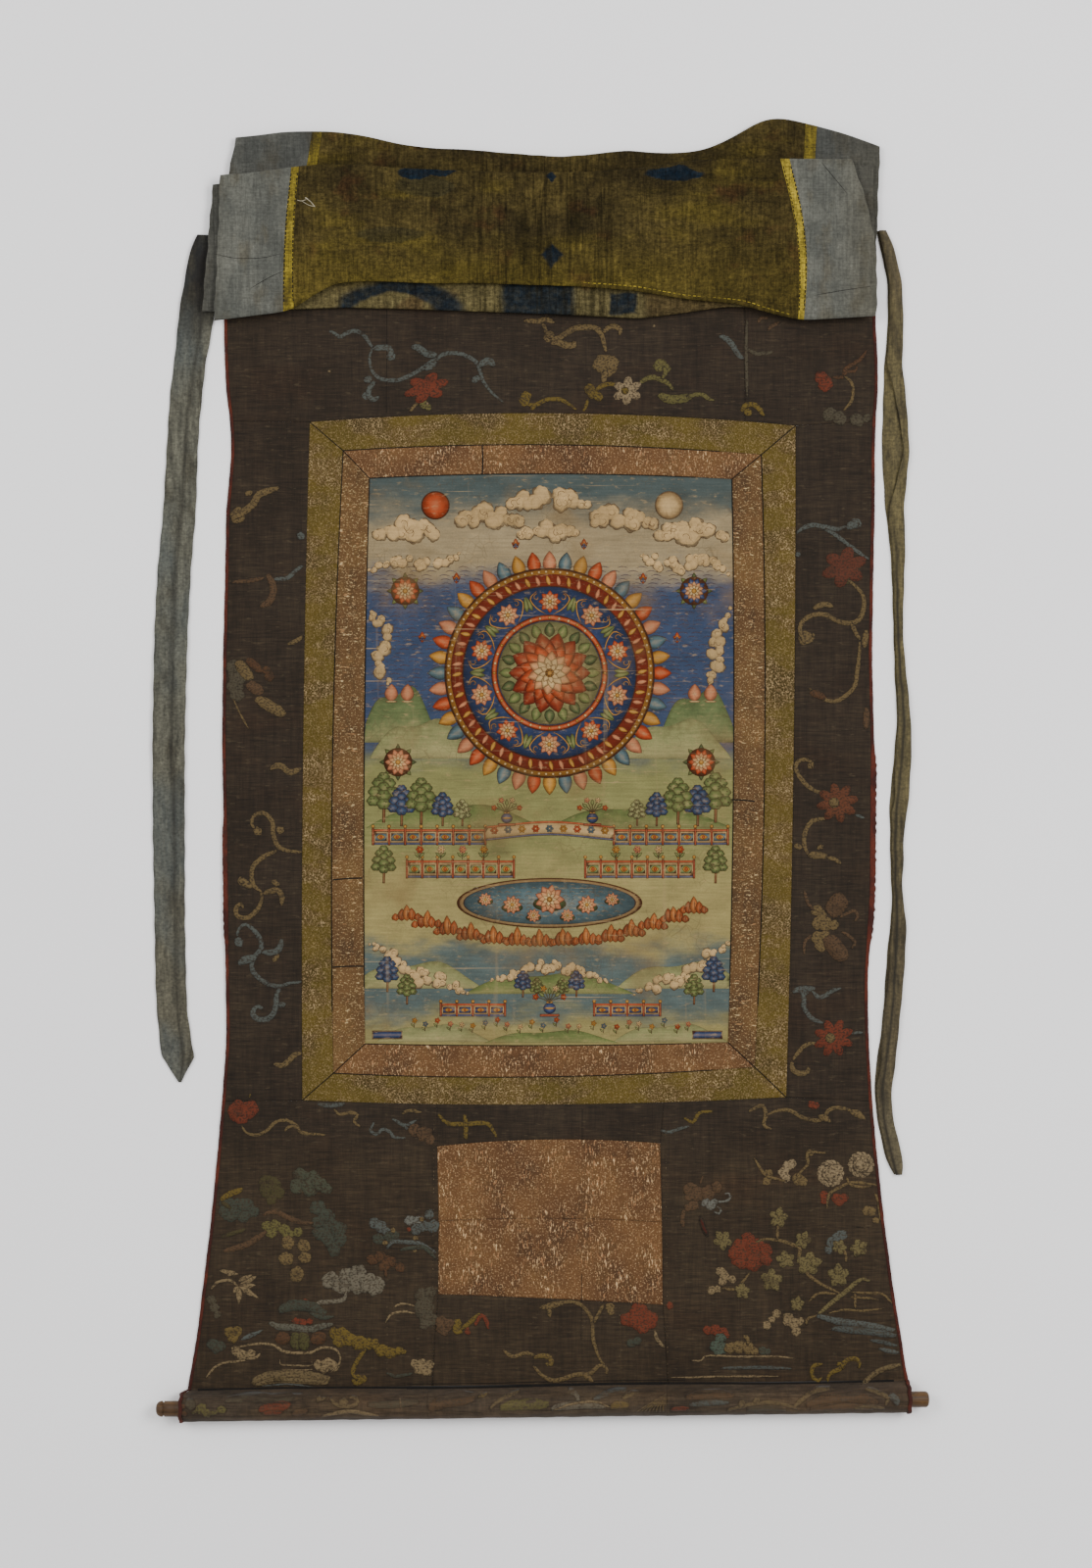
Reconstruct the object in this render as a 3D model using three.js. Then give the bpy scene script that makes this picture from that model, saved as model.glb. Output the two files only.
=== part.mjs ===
// Thangka scroll painting lying face up on a flat surface.
// Millimetres. X runs across the scroll, Y towards its top edge, Z up from the surface.
// The origin is on the surface, below the middle of the scroll.
import * as THREE from 'three'

// Driving dimensions
const clothThick = 1.2
const seamGap = 0.3
const pipingWidth = 3.2
const topEdgeY = 619.5

const rod = {
  leftEnd: -429.5,
  rightEnd: 434,
  leftAxisY: -715,
  rightAxisY: -704,
  coreRadius: 12.6,
  pegRadius: 8.8,
  leftShoulder: -401,
  rightShoulder: 411,
}

const sleeve = {
  radius: 14,
  creaseAhead: 19,
  creaseHeight: 2.1,
  leftEnd: -403,
  rightEnd: 413,
  creaseLeft: -395.5,
  creaseRight: 412,
}

const veil = {
  layerPitch: 2.7,
  firstLayer: 2.1,
  arcSteps: 4,
}

const ribbonWidth = 36

// Nested edges round the picture: corners and how far each side bows outwards
const frames = {
  canvas: {
    topLeft: [-192, 326.5],
    topRight: [214.5, 325.5],
    bottomLeft: [-197, -308],
    bottomRight: [210, -306.5],
    bow: { top: 5.5, right: 4.2, bottom: -2.7, left: -3.5 },
  },
  inner: {
    topLeft: [-221.5, 357.5],
    topRight: [247.5, 353],
    bottomLeft: [-232.5, -341],
    bottomRight: [240, -334],
    bow: { top: 8.7, right: 7.5, bottom: -7.5, left: -6.4 },
  },
  outer: {
    topLeft: [-259, 389.5],
    topRight: [286, 385.5],
    bottomLeft: [-267.5, -371.5],
    bottomRight: [275.5, -368],
    bow: { top: 12, right: 3, bottom: -6.5, left: -3.5 },
  },
}

// Stations along the frames where other seams meet them
const topStations = [0, 0.125, 0.25, 0.375, 0.5, 0.625, 0.75, 0.8945, 1]
const bottomStations = [0, 0.14, 0.278, 0.4, 0.5, 0.62, 0.747, 0.875, 1]

// Side edges of the sheet above its lower seam
const sideRows = [
  { y: 619.5, left: -355, right: 375.5 },
  { y: 500.5, left: -355, right: 375.5 },
  { y: 456.5, left: -354, right: 378 },
  { y: 423.5, left: -352.5, right: 378 },
  { y: 390.5, left: -348, right: 375.5 },
  { y: 357.5, left: -346.5, right: 374.5 },
  { y: 324.5, left: -349, right: 374.5 },
  { y: 291.5, left: -352.5, right: 374.5 },
  { y: 225.5, left: -353.5, right: 373 },
  { y: 126.5, left: -356, right: 371.5 },
  { y: 27.5, left: -357, right: 374 },
  { y: -71.5, left: -355, right: 373 },
  { y: -137.5, left: -354, right: 372.5 },
  { y: -236.5, left: -353, right: 366.5 },
  { y: -302.5, left: -352, right: 367.5 },
  { y: -372, left: -357, right: 371.5 },
]
const upperSeamRow = 4

// Rows of the three lower panels, from the seam below the picture to the crease at the sleeve
const lowerRows = [
  { left: [-357, -372], leftSeam: [-116.5, -375.7], rightSeam: [138, -374], right: [371.5, -372] },
  { left: [-361.5, -423.5], leftSeam: [-116, -423], rightSeam: [134, -419.5], right: [376, -423.5] },
  { left: [-369.5, -507], leftSeam: [-114.5, -507], rightSeam: [136, -508], right: [385, -507] },
  { left: [-379.5, -588.5], leftSeam: [-115, -589], rightSeam: [137, -601], right: [396, -588.5] },
  { left: [-385.5, -639], leftSeam: [-119, -639], rightSeam: [139.5, -639], right: [404.5, -639] },
  { left: [-391, -667.5], leftSeam: [-120.5, -667.5], rightSeam: [141.5, -667.5], right: [408.5, -667.5] },
]
const creaseSeams = { leftSeam: -121.5, rightSeam: 142.5 }

// Folds of the veil from its sewn root to its front hem: the five strips' edges and the fold's line
const veilFolds = [
  {
    side: 'root',
    strips: [-350, -272, -262, 282, 293, 368],
    line: [[-400, 612], [400, 612]],
  },
  {
    side: 'top',
    strips: [-341.5, -256, -245, 296.5, 309.5, 380],
    line: [
      [-341.5, 708.5], [-287.5, 715], [-232.5, 715.5], [-188.5, 708.5], [-122.5, 696.5], [20.5, 687],
      [97.5, 694.5], [141.5, 691], [185.5, 695], [246, 727], [273.5, 730], [306.5, 722.5], [380, 698.5],
    ],
  },
  {
    side: 'bottom',
    strips: [-379, -287.5, -275.5, 286.5, 297.5, 373.5],
    line: [
      [-379, 512.5], [-217.5, 517], [-99.5, 513.5], [47, 508], [110.5, 504.5], [163.5, 511.5],
      [208.5, 518], [273.5, 516], [374.5, 509.5],
    ],
  },
  {
    side: 'top',
    strips: [-367, -284, -273, 280, 290, 372],
    line: [[-367, 655], [-202, 670], [47, 661], [163.5, 673], [372, 676]],
  },
  {
    side: 'bottom',
    strips: [-362, -286, -274, 284, 292, 371],
    line: [[-362, 540], [-202, 562], [47, 556], [371, 530]],
  },
  {
    side: 'top',
    strips: [-358, -278.5, -270, 267.5, 278, 348],
    line: [
      [-358, 664.5], [-282, 673], [-202, 676.5], [-158, 672], [-40, 667.5], [47, 667.5], [105, 671.5],
      [163.5, 680], [267, 683], [348, 682],
    ],
  },
  {
    side: 'hem',
    strips: [-365, -287.5, -275.5, 287.5, 294, 374.5],
    line: [
      [-365, 501], [-275.5, 513.5], [-258, 527], [-228.5, 543.5], [-187.5, 545.5], [-128, 542.5],
      [-10.5, 541], [47, 539], [105, 534.5], [163.5, 525], [223, 519], [282, 503], [374.5, 506],
    ],
  },
]
const veilStrips = [
  { name: 'veil_border_left', cells: 3 },
  { name: 'veil_stripe_left', cells: 1 },
  { name: 'veil_centre', cells: 10 },
  { name: 'veil_stripe_right', cells: 1 },
  { name: 'veil_border_right', cells: 3 },
]

// Edges of the two hanging ribbons, laid beside the sheet
const leftRibbonRows = [
  { y: 599.5, left: -384.5, right: -358 },
  { y: 577.5, left: -394.5, right: -358.5 },
  { y: 533.5, left: -402, right: -363 },
  { y: 489.5, left: -407.5, right: -369 },
  { y: 423.5, left: -415.5, right: -379 },
  { y: 357.5, left: -419.5, right: -384.5 },
  { y: 291.5, left: -423, right: -386.5 },
  { y: 225.5, left: -429.5, right: -392 },
  { y: 159.5, left: -433, right: -395.5 },
  { y: 27.5, left: -435, right: -399 },
  { y: -71.5, left: -435, right: -399 },
  { y: -170.5, left: -433, right: -399 },
  { y: -269.5, left: -430.5, right: -396.5 },
  { y: -324.5, left: -425, right: -388 },
  { y: -351, left: -406, right: -403 },
]
const rightRibbonRows = [
  { y: 604, left: 377.5, right: 387 },
  { y: 590.5, left: 379, right: 393.5 },
  { y: 571, left: 384.5, right: 399 },
  { y: 546.5, left: 389, right: 404.5 },
  { y: 489.5, left: 389, right: 406.5 },
  { y: 456.5, left: 385.5, right: 404.5 },
  { y: 423.5, left: 384.5, right: 408.5 },
  { y: 357.5, left: 382.5, right: 413 },
  { y: 324.5, left: 384.5, right: 410 },
  { y: 258.5, left: 391, right: 408.5 },
  { y: 192.5, left: 394.5, right: 406.5 },
  { y: 126.5, left: 396.5, right: 407.5 },
  { y: 60.5, left: 400, right: 414 },
  { y: 27.5, left: 397.5, right: 415.5 },
  { y: -38.5, left: 391, right: 412 },
  { y: -71.5, left: 392, right: 406.5 },
  { y: -130, left: 393.5, right: 404.5 },
  { y: -170.5, left: 392.5, right: 410 },
  { y: -236.5, left: 386.5, right: 406.5 },
  { y: -302.5, left: 381, right: 400 },
  { y: -368.5, left: 374.5, right: 392 },
  { y: -401.5, left: 380, right: 396.5 },
  { y: -434.5, left: 388, right: 405.5 },
  { y: -454.5, left: 396, right: 404.5 },
]

const colours = {
  canvas: 0x5a6a60,
  innerSilk: 0x8a5a3c,
  outerSilk: 0x7d6d25,
  darkSilk: 0x3a3029,
  piping: 0x6e2a22,
  veilOlive: 0x5a4d1e,
  veilGrey: 0x6f7878,
  veilYellow: 0xa8941c,
  wood: 0x7a5a2e,
  ribbonGrey: 0x5b6560,
  ribbonOlive: 0x6b6548,
}

const part = new THREE.Group()
part.name = 'thangka_scroll_painting'

const mix = (a, b, t) => a + (b - a) * t
const mixPoint = (a, b, t) => a.map((value, axis) => mix(value, b[axis], t))
const axisY = (x) => mix(
  rod.leftAxisY,
  rod.rightAxisY,
  (x - rod.leftEnd) / (rod.rightEnd - rod.leftEnd),
)

// Height of a line of points at one x
function lineAt(line, x) {
  let next = line.findIndex((point) => point[0] >= x)
  if (next === 0) {
    return line[0][1]
  }
  if (next < 0) {
    next = line.length - 1
  }
  const [before, after] = [line[next - 1], line[next]]
  const share = Math.min(1, (x - before[0]) / (after[0] - before[0]))
  return mix(before[1], after[1], share)
}

// Points between two corners, bowed sideways along one axis
function bowed(from, to, bow, axis, stations) {
  return stations.map((t) => {
    const point = mixPoint(from, to, t)
    point[axis] += 4 * bow * t * (1 - t)
    return point
  })
}

// Even points between two corners
function straight(from, to, count) {
  return Array.from({ length: count + 1 }, (_, k) => mixPoint(from, to, k / count))
}

// Grid of points filling four edges; columns run down, top and bottom have equal counts
function fill(top, bottom, left, right, height = clothThick / 2) {
  const columns = top.length - 1
  const rows = left.length - 1
  return top.map((topPoint, i) => left.map((leftPoint, j) => {
    const u = i / columns
    const v = j / rows
    const flat = [0, 1].map((axis) => {
      const across = mix(leftPoint[axis], right[j][axis], u)
      const down = mix(topPoint[axis], bottom[i][axis], v)
      const upper = mix(top[0][axis], top[columns][axis], u)
      const lower = mix(bottom[0][axis], bottom[columns][axis], u)
      return across + down - mix(upper, lower, v)
    })
    return [...flat, height]
  }))
}

// Draws the outer columns of a grid in by half a seam gap, and its outer rows too unless told not to
function drawIn(grid, { rows = true } = {}) {
  const points = grid.map((column) => column.map((point) => new THREE.Vector3(...point)))
  const step = (edge, inside) => inside.clone().sub(edge).setLength(seamGap / 2)
  const lastColumn = points.length - 1
  const lastRow = points[0].length - 1
  const moves = []
  points.forEach((column, i) => column.forEach((point, j) => {
    const move = new THREE.Vector3()
    if (i === 0) {
      move.add(step(point, points[1][j]))
    }
    if (i === lastColumn) {
      move.add(step(point, points[i - 1][j]))
    }
    if (rows && j === 0) {
      move.add(step(point, column[1]))
    }
    if (rows && j === lastRow) {
      move.add(step(point, column[j - 1]))
    }
    moves.push([point, move])
  }))
  moves.forEach(([point, move]) => point.add(move))
  return points
}

// Closed cloth of even thickness about a grid of points
function clothSolid(points, thick) {
  const columns = points.length
  const rows = points[0].length
  const positions = []
  const near = (index, count) => [Math.max(0, index - 1), Math.min(count - 1, index + 1)]
  points.forEach((column, i) => column.forEach((point, j) => {
    const [i0, i1] = near(i, columns)
    const [j0, j1] = near(j, rows)
    const across = points[i1][j].clone().sub(points[i0][j])
    const down = column[j1].clone().sub(column[j0])
    const normal = down.cross(across).setLength(thick / 2)
    positions.push(...point.clone().add(normal), ...point.clone().sub(normal))
  }))
  const face = (i, j) => 2 * (i * rows + j)
  const back = (i, j) => face(i, j) + 1
  const triangles = []
  const quad = (a, b, c, d) => triangles.push(a, b, c, a, c, d)
  for (let i = 0; i < columns - 1; i += 1) {
    for (let j = 0; j < rows - 1; j += 1) {
      quad(face(i, j), face(i, j + 1), face(i + 1, j + 1), face(i + 1, j))
      quad(back(i, j), back(i + 1, j), back(i + 1, j + 1), back(i, j + 1))
    }
    quad(face(i, 0), face(i + 1, 0), back(i + 1, 0), back(i, 0))
    quad(face(i + 1, rows - 1), face(i, rows - 1), back(i, rows - 1), back(i + 1, rows - 1))
  }
  for (let j = 0; j < rows - 1; j += 1) {
    quad(face(0, j + 1), face(0, j), back(0, j), back(0, j + 1))
    quad(face(columns - 1, j), face(columns - 1, j + 1), back(columns - 1, j + 1), back(columns - 1, j))
  }
  const geometry = new THREE.BufferGeometry()
  geometry.setAttribute('position', new THREE.Float32BufferAttribute(positions, 3))
  geometry.setIndex(triangles)
  geometry.computeVertexNormals()
  return geometry
}

function add(name, geometry, colour) {
  const material = new THREE.MeshStandardMaterial({ color: colour, roughness: 0.85 })
  material.name = `${name}_material`
  const mesh = new THREE.Mesh(geometry, material)
  mesh.name = name
  part.add(mesh)
}

const addCloth = (name, grid, colour) => add(name, clothSolid(drawIn(grid), clothThick), colour)

// Picture canvas and the two silk borders, each border mitred at its corners
const sideStations = sideRows.slice(upperSeamRow).map((row, _, rows) => (
  (rows[0].y - row.y) / (rows[0].y - rows[rows.length - 1].y)
))
const frameEdges = Object.fromEntries(Object.entries(frames).map(([name, frame]) => {
  const { topLeft, topRight, bottomLeft, bottomRight, bow } = frame
  return [name, {
    top: bowed(topLeft, topRight, bow.top, 1, topStations),
    bottom: bowed(bottomLeft, bottomRight, bow.bottom, 1, bottomStations),
    left: bowed(topLeft, bottomLeft, bow.left, 0, sideStations),
    right: bowed(topRight, bottomRight, bow.right, 0, sideStations),
  }]
}))

function addBorder(prefix, outside, inside, colour) {
  const ends = (a, b, index) => [a[index], b[index]]
  const last = (list) => list.length - 1
  addCloth(`${prefix}_top`, fill(
    outside.top,
    inside.top,
    ends(outside.top, inside.top, 0),
    ends(outside.top, inside.top, last(outside.top)),
  ), colour)
  addCloth(`${prefix}_bottom`, fill(
    inside.bottom,
    outside.bottom,
    ends(inside.bottom, outside.bottom, 0),
    ends(inside.bottom, outside.bottom, last(outside.bottom)),
  ), colour)
  addCloth(`${prefix}_left`, fill(
    ends(outside.left, inside.left, 0),
    ends(outside.left, inside.left, last(outside.left)),
    outside.left,
    inside.left,
  ), colour)
  addCloth(`${prefix}_right`, fill(
    ends(inside.right, outside.right, 0),
    ends(inside.right, outside.right, last(outside.right)),
    inside.right,
    outside.right,
  ), colour)
}

const { canvas, inner, outer } = frameEdges
addCloth('painting_canvas', fill(canvas.top, canvas.bottom, canvas.left, canvas.right), colours.canvas)
addBorder('inner_border', inner, canvas, colours.innerSilk)
addBorder('outer_border', outer, inner, colours.outerSilk)

// Dark silk mount above and beside the picture
const sideLine = (rows, side) => rows.map((row) => {
  const inset = side === 'left' ? pipingWidth : -pipingWidth
  return [row[side] + inset, row.y]
})
const upperRows = sideRows.slice(0, upperSeamRow + 1)
const middleRows = sideRows.slice(upperSeamRow)
const leftSide = sideLine(middleRows, 'left')
const rightSide = sideLine(middleRows, 'right')
const splitStation = 7
const lastStation = topStations.length - 1

function addUpperPanel(name, lower, left, right) {
  const [first, last] = [lower[0][0], lower[lower.length - 1][0]]
  const upper = lower.map(([x]) => {
    const share = (x - first) / (last - first)
    return [mix(left[0][0], right[0][0], share), topEdgeY]
  })
  addCloth(name, fill(upper, lower, left, right), colours.darkSilk)
}

const splitPoint = outer.top[splitStation]
const splitLine = [...upperRows.slice(0, -1).map((row) => [splitPoint[0], row.y]), splitPoint]
addUpperPanel(
  'mount_top_left',
  [...straight(leftSide[0], outer.top[0], 2).slice(0, -1), ...outer.top.slice(0, splitStation + 1)],
  sideLine(upperRows, 'left'),
  splitLine,
)
addUpperPanel(
  'mount_top_right',
  [splitPoint, ...straight(outer.top[lastStation], rightSide[0], 2)],
  splitLine,
  sideLine(upperRows, 'right'),
)

const lowest = middleRows.length - 1
addCloth('mount_side_left', fill(
  straight(leftSide[0], outer.left[0], 2),
  straight(leftSide[lowest], outer.left[lowest], 2),
  leftSide,
  outer.left,
), colours.darkSilk)
addCloth('mount_side_right', fill(
  straight(outer.right[0], rightSide[0], 2),
  straight(outer.right[lowest], rightSide[lowest], 2),
  outer.right,
  rightSide,
), colours.darkSilk)

// The sleeve's section: up from the crease, round the roller and back along the surface
const sleeveSection = (() => {
  const centre = sleeve.radius + clothThick / 2
  const crease = new THREE.Vector2(sleeve.creaseAhead, sleeve.creaseHeight - centre)
  const leave = crease.angle() + Math.acos(sleeve.radius / crease.length()) - 2 * Math.PI
  const section = []
  const steps = 9
  for (let k = 0; k <= steps; k += 1) {
    const angle = mix(leave, 1.5 * Math.PI, k / steps)
    section.push([sleeve.radius * Math.cos(angle), centre + sleeve.radius * Math.sin(angle)])
  }
  section.push([sleeve.creaseAhead - 4, clothThick / 2])
  return section
})()

// Continues a flat grid over the roller
function withSleeve(grid) {
  return grid.map((column) => {
    const [x] = column[column.length - 1]
    const share = (x - sleeve.creaseLeft) / (sleeve.creaseRight - sleeve.creaseLeft)
    const end = mix(sleeve.leftEnd, sleeve.rightEnd, share)
    const flat = column.slice(0, -1)
    const crease = [x, axisY(x) + sleeve.creaseAhead, sleeve.creaseHeight]
    const round = sleeveSection.map(([ahead, height]) => [end, axisY(end) + ahead, height])
    return [...flat, crease, ...round]
  })
}

const creasePoint = (x) => [x, axisY(x) + sleeve.creaseAhead]
const lowerLine = (key, inset = 0) => [
  ...lowerRows.map((row) => [row[key][0] + inset, row[key][1]]),
  creasePoint({
    left: sleeve.creaseLeft,
    right: sleeve.creaseRight,
    ...creaseSeams,
  }[key] + inset),
]
const lowerLeft = lowerLine('left', pipingWidth)
const leftSeam = lowerLine('leftSeam')
const rightSeam = lowerLine('rightSeam')
const lowerRight = lowerLine('right', -pipingWidth)
const seamStations = { left: 2, right: 6 }
leftSeam[0] = outer.bottom[seamStations.left]
rightSeam[0] = outer.bottom[seamStations.right]

// The lower edge of a panel is even along the crease
function addLowerPanel(name, top, left, right) {
  const rows = left.length - 1
  const bottom = straight(left[rows], right[rows], top.length - 1)
  addCloth(name, withSleeve(fill(top, bottom, left, right)), colours.darkSilk)
}

const frameBottomEnd = outer.bottom.length - 1
addLowerPanel(
  'mount_bottom_left',
  [
    ...straight(lowerLeft[0], outer.bottom[0], 2).slice(0, -1),
    ...outer.bottom.slice(0, seamStations.left + 1),
  ],
  lowerLeft,
  leftSeam,
)
addLowerPanel(
  'mount_bottom_right',
  [
    ...outer.bottom.slice(seamStations.right, frameBottomEnd),
    ...straight(outer.bottom[frameBottomEnd], lowerRight[0], 2),
  ],
  rightSeam,
  lowerRight,
)

// Centre of the lower mount: a dark band, the two strips of the door and the panel below
const quarters = [0, 0.25, 0.5, 0.75, 1]
const doorLine = (row, bow) => bowed(leftSeam[row], rightSeam[row], bow, 1, quarters)
const doorTop = doorLine(1, 6)
const doorMiddle = doorLine(2, 3.5)
const doorBottom = doorLine(3, 1)
const between = (line, from, to) => line.slice(from, to + 1)

function addCentre(name, top, bottom, row, colour) {
  addCloth(name, fill(
    top,
    bottom,
    between(leftSeam, row, row + 1),
    between(rightSeam, row, row + 1),
  ), colour)
}

addCentre(
  'mount_band_centre',
  between(outer.bottom, seamStations.left, seamStations.right),
  doorTop,
  0,
  colours.darkSilk,
)
addCentre('door_upper', doorTop, doorMiddle, 1, colours.innerSilk)
addCentre('door_lower', doorMiddle, doorBottom, 2, colours.innerSilk)
addLowerPanel('mount_bottom_centre', doorBottom, leftSeam.slice(3), rightSeam.slice(3))

// Red piping down both side edges and round the ends of the sleeve
const sides = [
  { name: 'piping_left', key: 'left', inset: pipingWidth, outerFirst: true },
  { name: 'piping_right', key: 'right', inset: -pipingWidth, outerFirst: false },
]
sides.forEach(({ name, key, inset, outerFirst }) => {
  const edge = [
    ...sideRows.slice(0, -1).map((row) => [row[key], row.y]),
    ...lowerLine(key),
  ]
  const inside = edge.map(([x, y], row) => (
    row === edge.length - 1 ? creasePoint(x + inset) : [x + inset, y]
  ))
  const pair = outerFirst ? [edge, inside] : [inside, edge]
  const grid = pair.map((line) => line.map(([x, y]) => [x, y, clothThick / 2]))
  addCloth(name, withSleeve(grid), colours.piping)
})

// Turned roller in the sleeve, its pegs showing at both ends
const rodProfile = [
  [rod.leftEnd, 0],
  [rod.leftEnd, 4],
  [rod.leftEnd + 2, 7.2],
  [rod.leftEnd + 5, rod.pegRadius],
  [rod.leftEnd + 7, rod.pegRadius],
  [rod.leftEnd + 8, rod.pegRadius - 1.2],
  [rod.leftEnd + 9, rod.pegRadius],
  [rod.leftShoulder - 2, rod.pegRadius],
  [rod.leftShoulder + 3, rod.coreRadius],
  [rod.rightShoulder - 3, rod.coreRadius],
  [rod.rightShoulder + 2, rod.pegRadius],
  [rod.rightEnd - 4, rod.pegRadius],
  [rod.rightEnd - 1, 6.6],
  [rod.rightEnd, 3.5],
  [rod.rightEnd, 0],
]
const rodBody = new THREE.LatheGeometry(
  rodProfile.map(([along, radius]) => new THREE.Vector2(radius, along)),
  28,
)
rodBody.rotateZ(-Math.PI / 2)
rodBody.rotateZ(Math.atan2(rod.rightAxisY - rod.leftAxisY, rod.rightEnd - rod.leftEnd))
rodBody.translate(0, axisY(0), sleeve.radius + clothThick / 2)
add('roller_rod', rodBody, colours.wood)

// Veil gathered at the top: one cloth of five strips, folded back and forth
function veilColumn(strip, share) {
  const places = veilFolds.map((fold) => {
    const x = mix(fold.strips[strip], fold.strips[strip + 1], share)
    return { side: fold.side, x, y: lineAt(fold.line, x) }
  })
  const bend = veil.layerPitch / 2
  const column = []
  places.forEach(({ side, x, y }, k) => {
    const height = veil.firstLayer + veil.layerPitch * Math.max(0, k - 1)
    if (side === 'root' || side === 'hem') {
      column.push([x, y, height])
      return
    }
    const facing = side === 'top' ? 1 : -1
    const centre = y - facing * (bend + clothThick / 2)
    for (let step = 0; step <= veil.arcSteps; step += 1) {
      const angle = Math.PI * (step / veil.arcSteps - 0.5)
      column.push([
        x,
        centre + facing * bend * Math.cos(angle),
        height + bend + bend * Math.sin(angle),
      ])
    }
  })
  return column
}

const veilColours = [
  colours.veilGrey,
  colours.veilYellow,
  colours.veilOlive,
  colours.veilYellow,
  colours.veilGrey,
]
veilStrips.forEach(({ name, cells }, strip) => {
  const grid = Array.from({ length: cells + 1 }, (_, k) => veilColumn(strip, k / cells))
  add(name, clothSolid(drawIn(grid, { rows: false }), clothThick), veilColours[strip])
})

// Left ribbon lies flat; the right one is folded along its length
const flatRibbon = [0, 0.5, 1].map((share) => (
  leftRibbonRows.map(({ y, left, right }) => [mix(left, right, share), y, clothThick / 2])
))
addCloth('ribbon_left', flatRibbon, colours.ribbonGrey)

const foldedRibbon = (() => {
  const bend = 1.1
  const sections = rightRibbonRows.map(({ y, left, right }) => {
    const lower = right - left
    const upper = Math.min(Math.max(ribbonWidth - lower, 5), lower - 3)
    const turn = right - bend - clothThick / 2
    const section = [[left, clothThick / 2], [mix(left, turn, 0.5), clothThick / 2]]
    for (let step = 0; step <= 3; step += 1) {
      const angle = Math.PI * (step / 3 - 0.5)
      section.push([turn + bend * Math.cos(angle), clothThick / 2 + bend + bend * Math.sin(angle)])
    }
    section.push([right - upper, clothThick / 2 + 2 * bend])
    return section.map(([x, z]) => [x, y, z])
  })
  return sections[0].map((_, k) => sections.map((section) => section[k]))
})()
addCloth('ribbon_right', foldedRibbon, colours.ribbonOlive)

export default part
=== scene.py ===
import math
import random

import bmesh
import bpy
import numpy as np
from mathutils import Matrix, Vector


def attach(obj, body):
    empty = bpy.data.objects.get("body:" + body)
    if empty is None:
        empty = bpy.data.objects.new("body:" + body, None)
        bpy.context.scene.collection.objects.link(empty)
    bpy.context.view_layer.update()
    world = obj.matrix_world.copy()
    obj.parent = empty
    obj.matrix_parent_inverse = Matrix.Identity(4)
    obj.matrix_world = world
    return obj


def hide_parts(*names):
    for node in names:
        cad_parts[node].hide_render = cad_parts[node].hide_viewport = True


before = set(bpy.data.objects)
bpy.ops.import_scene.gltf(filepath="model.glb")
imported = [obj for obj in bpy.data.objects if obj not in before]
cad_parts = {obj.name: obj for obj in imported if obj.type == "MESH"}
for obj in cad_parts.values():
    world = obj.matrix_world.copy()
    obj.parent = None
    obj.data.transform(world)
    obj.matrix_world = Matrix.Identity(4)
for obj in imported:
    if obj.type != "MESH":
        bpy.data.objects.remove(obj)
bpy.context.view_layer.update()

# Lengths are worked out in millimetres and turned into metres when a piece is made
MM = 0.001
# Thickness of the laid cloth with its lining, and how far each cloth stops short of its seams
THICK = 1.2
GAP = 0.03
# The view's scale and the place in it that is the middle of the part
STEP = 1.1
MIDDLE = (551.5, 785)
random.seed(41)


def at(across, down):
    """A place in the view, counted in steps from its top left corner."""
    return ((across - MIDDLE[0]) * STEP, (MIDDLE[1] - down) * STEP)


def mix(a, b, t):
    return a + (b - a) * t


def ease(low, high, value):
    t = np.clip((value - low) / (high - low), 0, 1)
    return t * t * (3 - 2 * t)


# ------- Shapes of the cloth, as they were laid out in the solids

ROD = {"left": -429.5, "right": 434.0, "left_y": -715.0, "right_y": -704.0}
SLEEVE = {"radius": 14.0, "ahead": 19.0, "crease": 2.1}
# Height of the roller's axis, and the cloth's ends at the crease beside it and on it
AXIS_HIGH = SLEEVE["radius"] + THICK / 2
CREASE_ENDS = (-395.5, 412)
SLEEVE_ENDS = (-403, 413)
# Heights of the hidden top edge and of the seams that meet the frame's upper and lower corners
TOP, HIGH_SEAM, LOW_SEAM = 619.5, 390.5, -372


def axis_y(x):
    return mix(ROD["left_y"], ROD["right_y"], (x - ROD["left"]) / (ROD["right"] - ROD["left"]))


def line(points):
    return np.array(points, float)


def bowed(start, end, bow, axis):
    t = np.linspace(0, 1, 41)
    made = mix(line(start), line(end), t[:, None])
    made[:, axis] += 4 * bow * t * (1 - t)
    return made


def eased(points, axis, passes=60):
    """A smooth line through points that run one way along an axis."""
    given = line(points)
    turned = given[0, axis] > given[-1, axis]
    if turned:
        given = given[::-1]
    along = np.linspace(given[0, axis], given[-1, axis], 321)
    off = np.interp(along, given[:, axis], given[:, 1 - axis])
    for _ in range(passes):
        off[1:-1] = (off[:-2] + 2 * off[1:-1] + off[2:]) / 4
    made = np.empty((321, 2))
    made[:, axis] = along
    made[:, 1 - axis] = off
    return made[::-1] if turned else made


def cut(path, axis, start, end):
    """The stretch of a line between two values along an axis."""
    inside = (path[:, axis] - start) * (path[:, axis] - end) < 0
    ends = []
    order = np.argsort(path[:, axis])
    for value in (start, end):
        other = np.interp(value, path[order, axis], path[order, 1 - axis])
        point = [0, 0]
        point[axis], point[1 - axis] = value, other
        ends.append(point)
    return np.vstack([ends[0], path[inside], ends[1]])


def along(path, share):
    """Points at shares of a line's length."""
    steps = np.hypot(*np.diff(path, axis=0).T)
    run = np.concatenate([[0], np.cumsum(steps)])
    wanted = np.clip(share, 0, 1) * run[-1]
    return np.stack([np.interp(wanted, run, path[:, 0]), np.interp(wanted, run, path[:, 1])], -1)


def length(path):
    return float(np.hypot(*np.diff(path, axis=0).T).sum())


def across_at(path, y):
    """Where a line that runs down the cloth stands at height y."""
    return np.interp(-y, -path[:, 1], path[:, 0])


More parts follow.
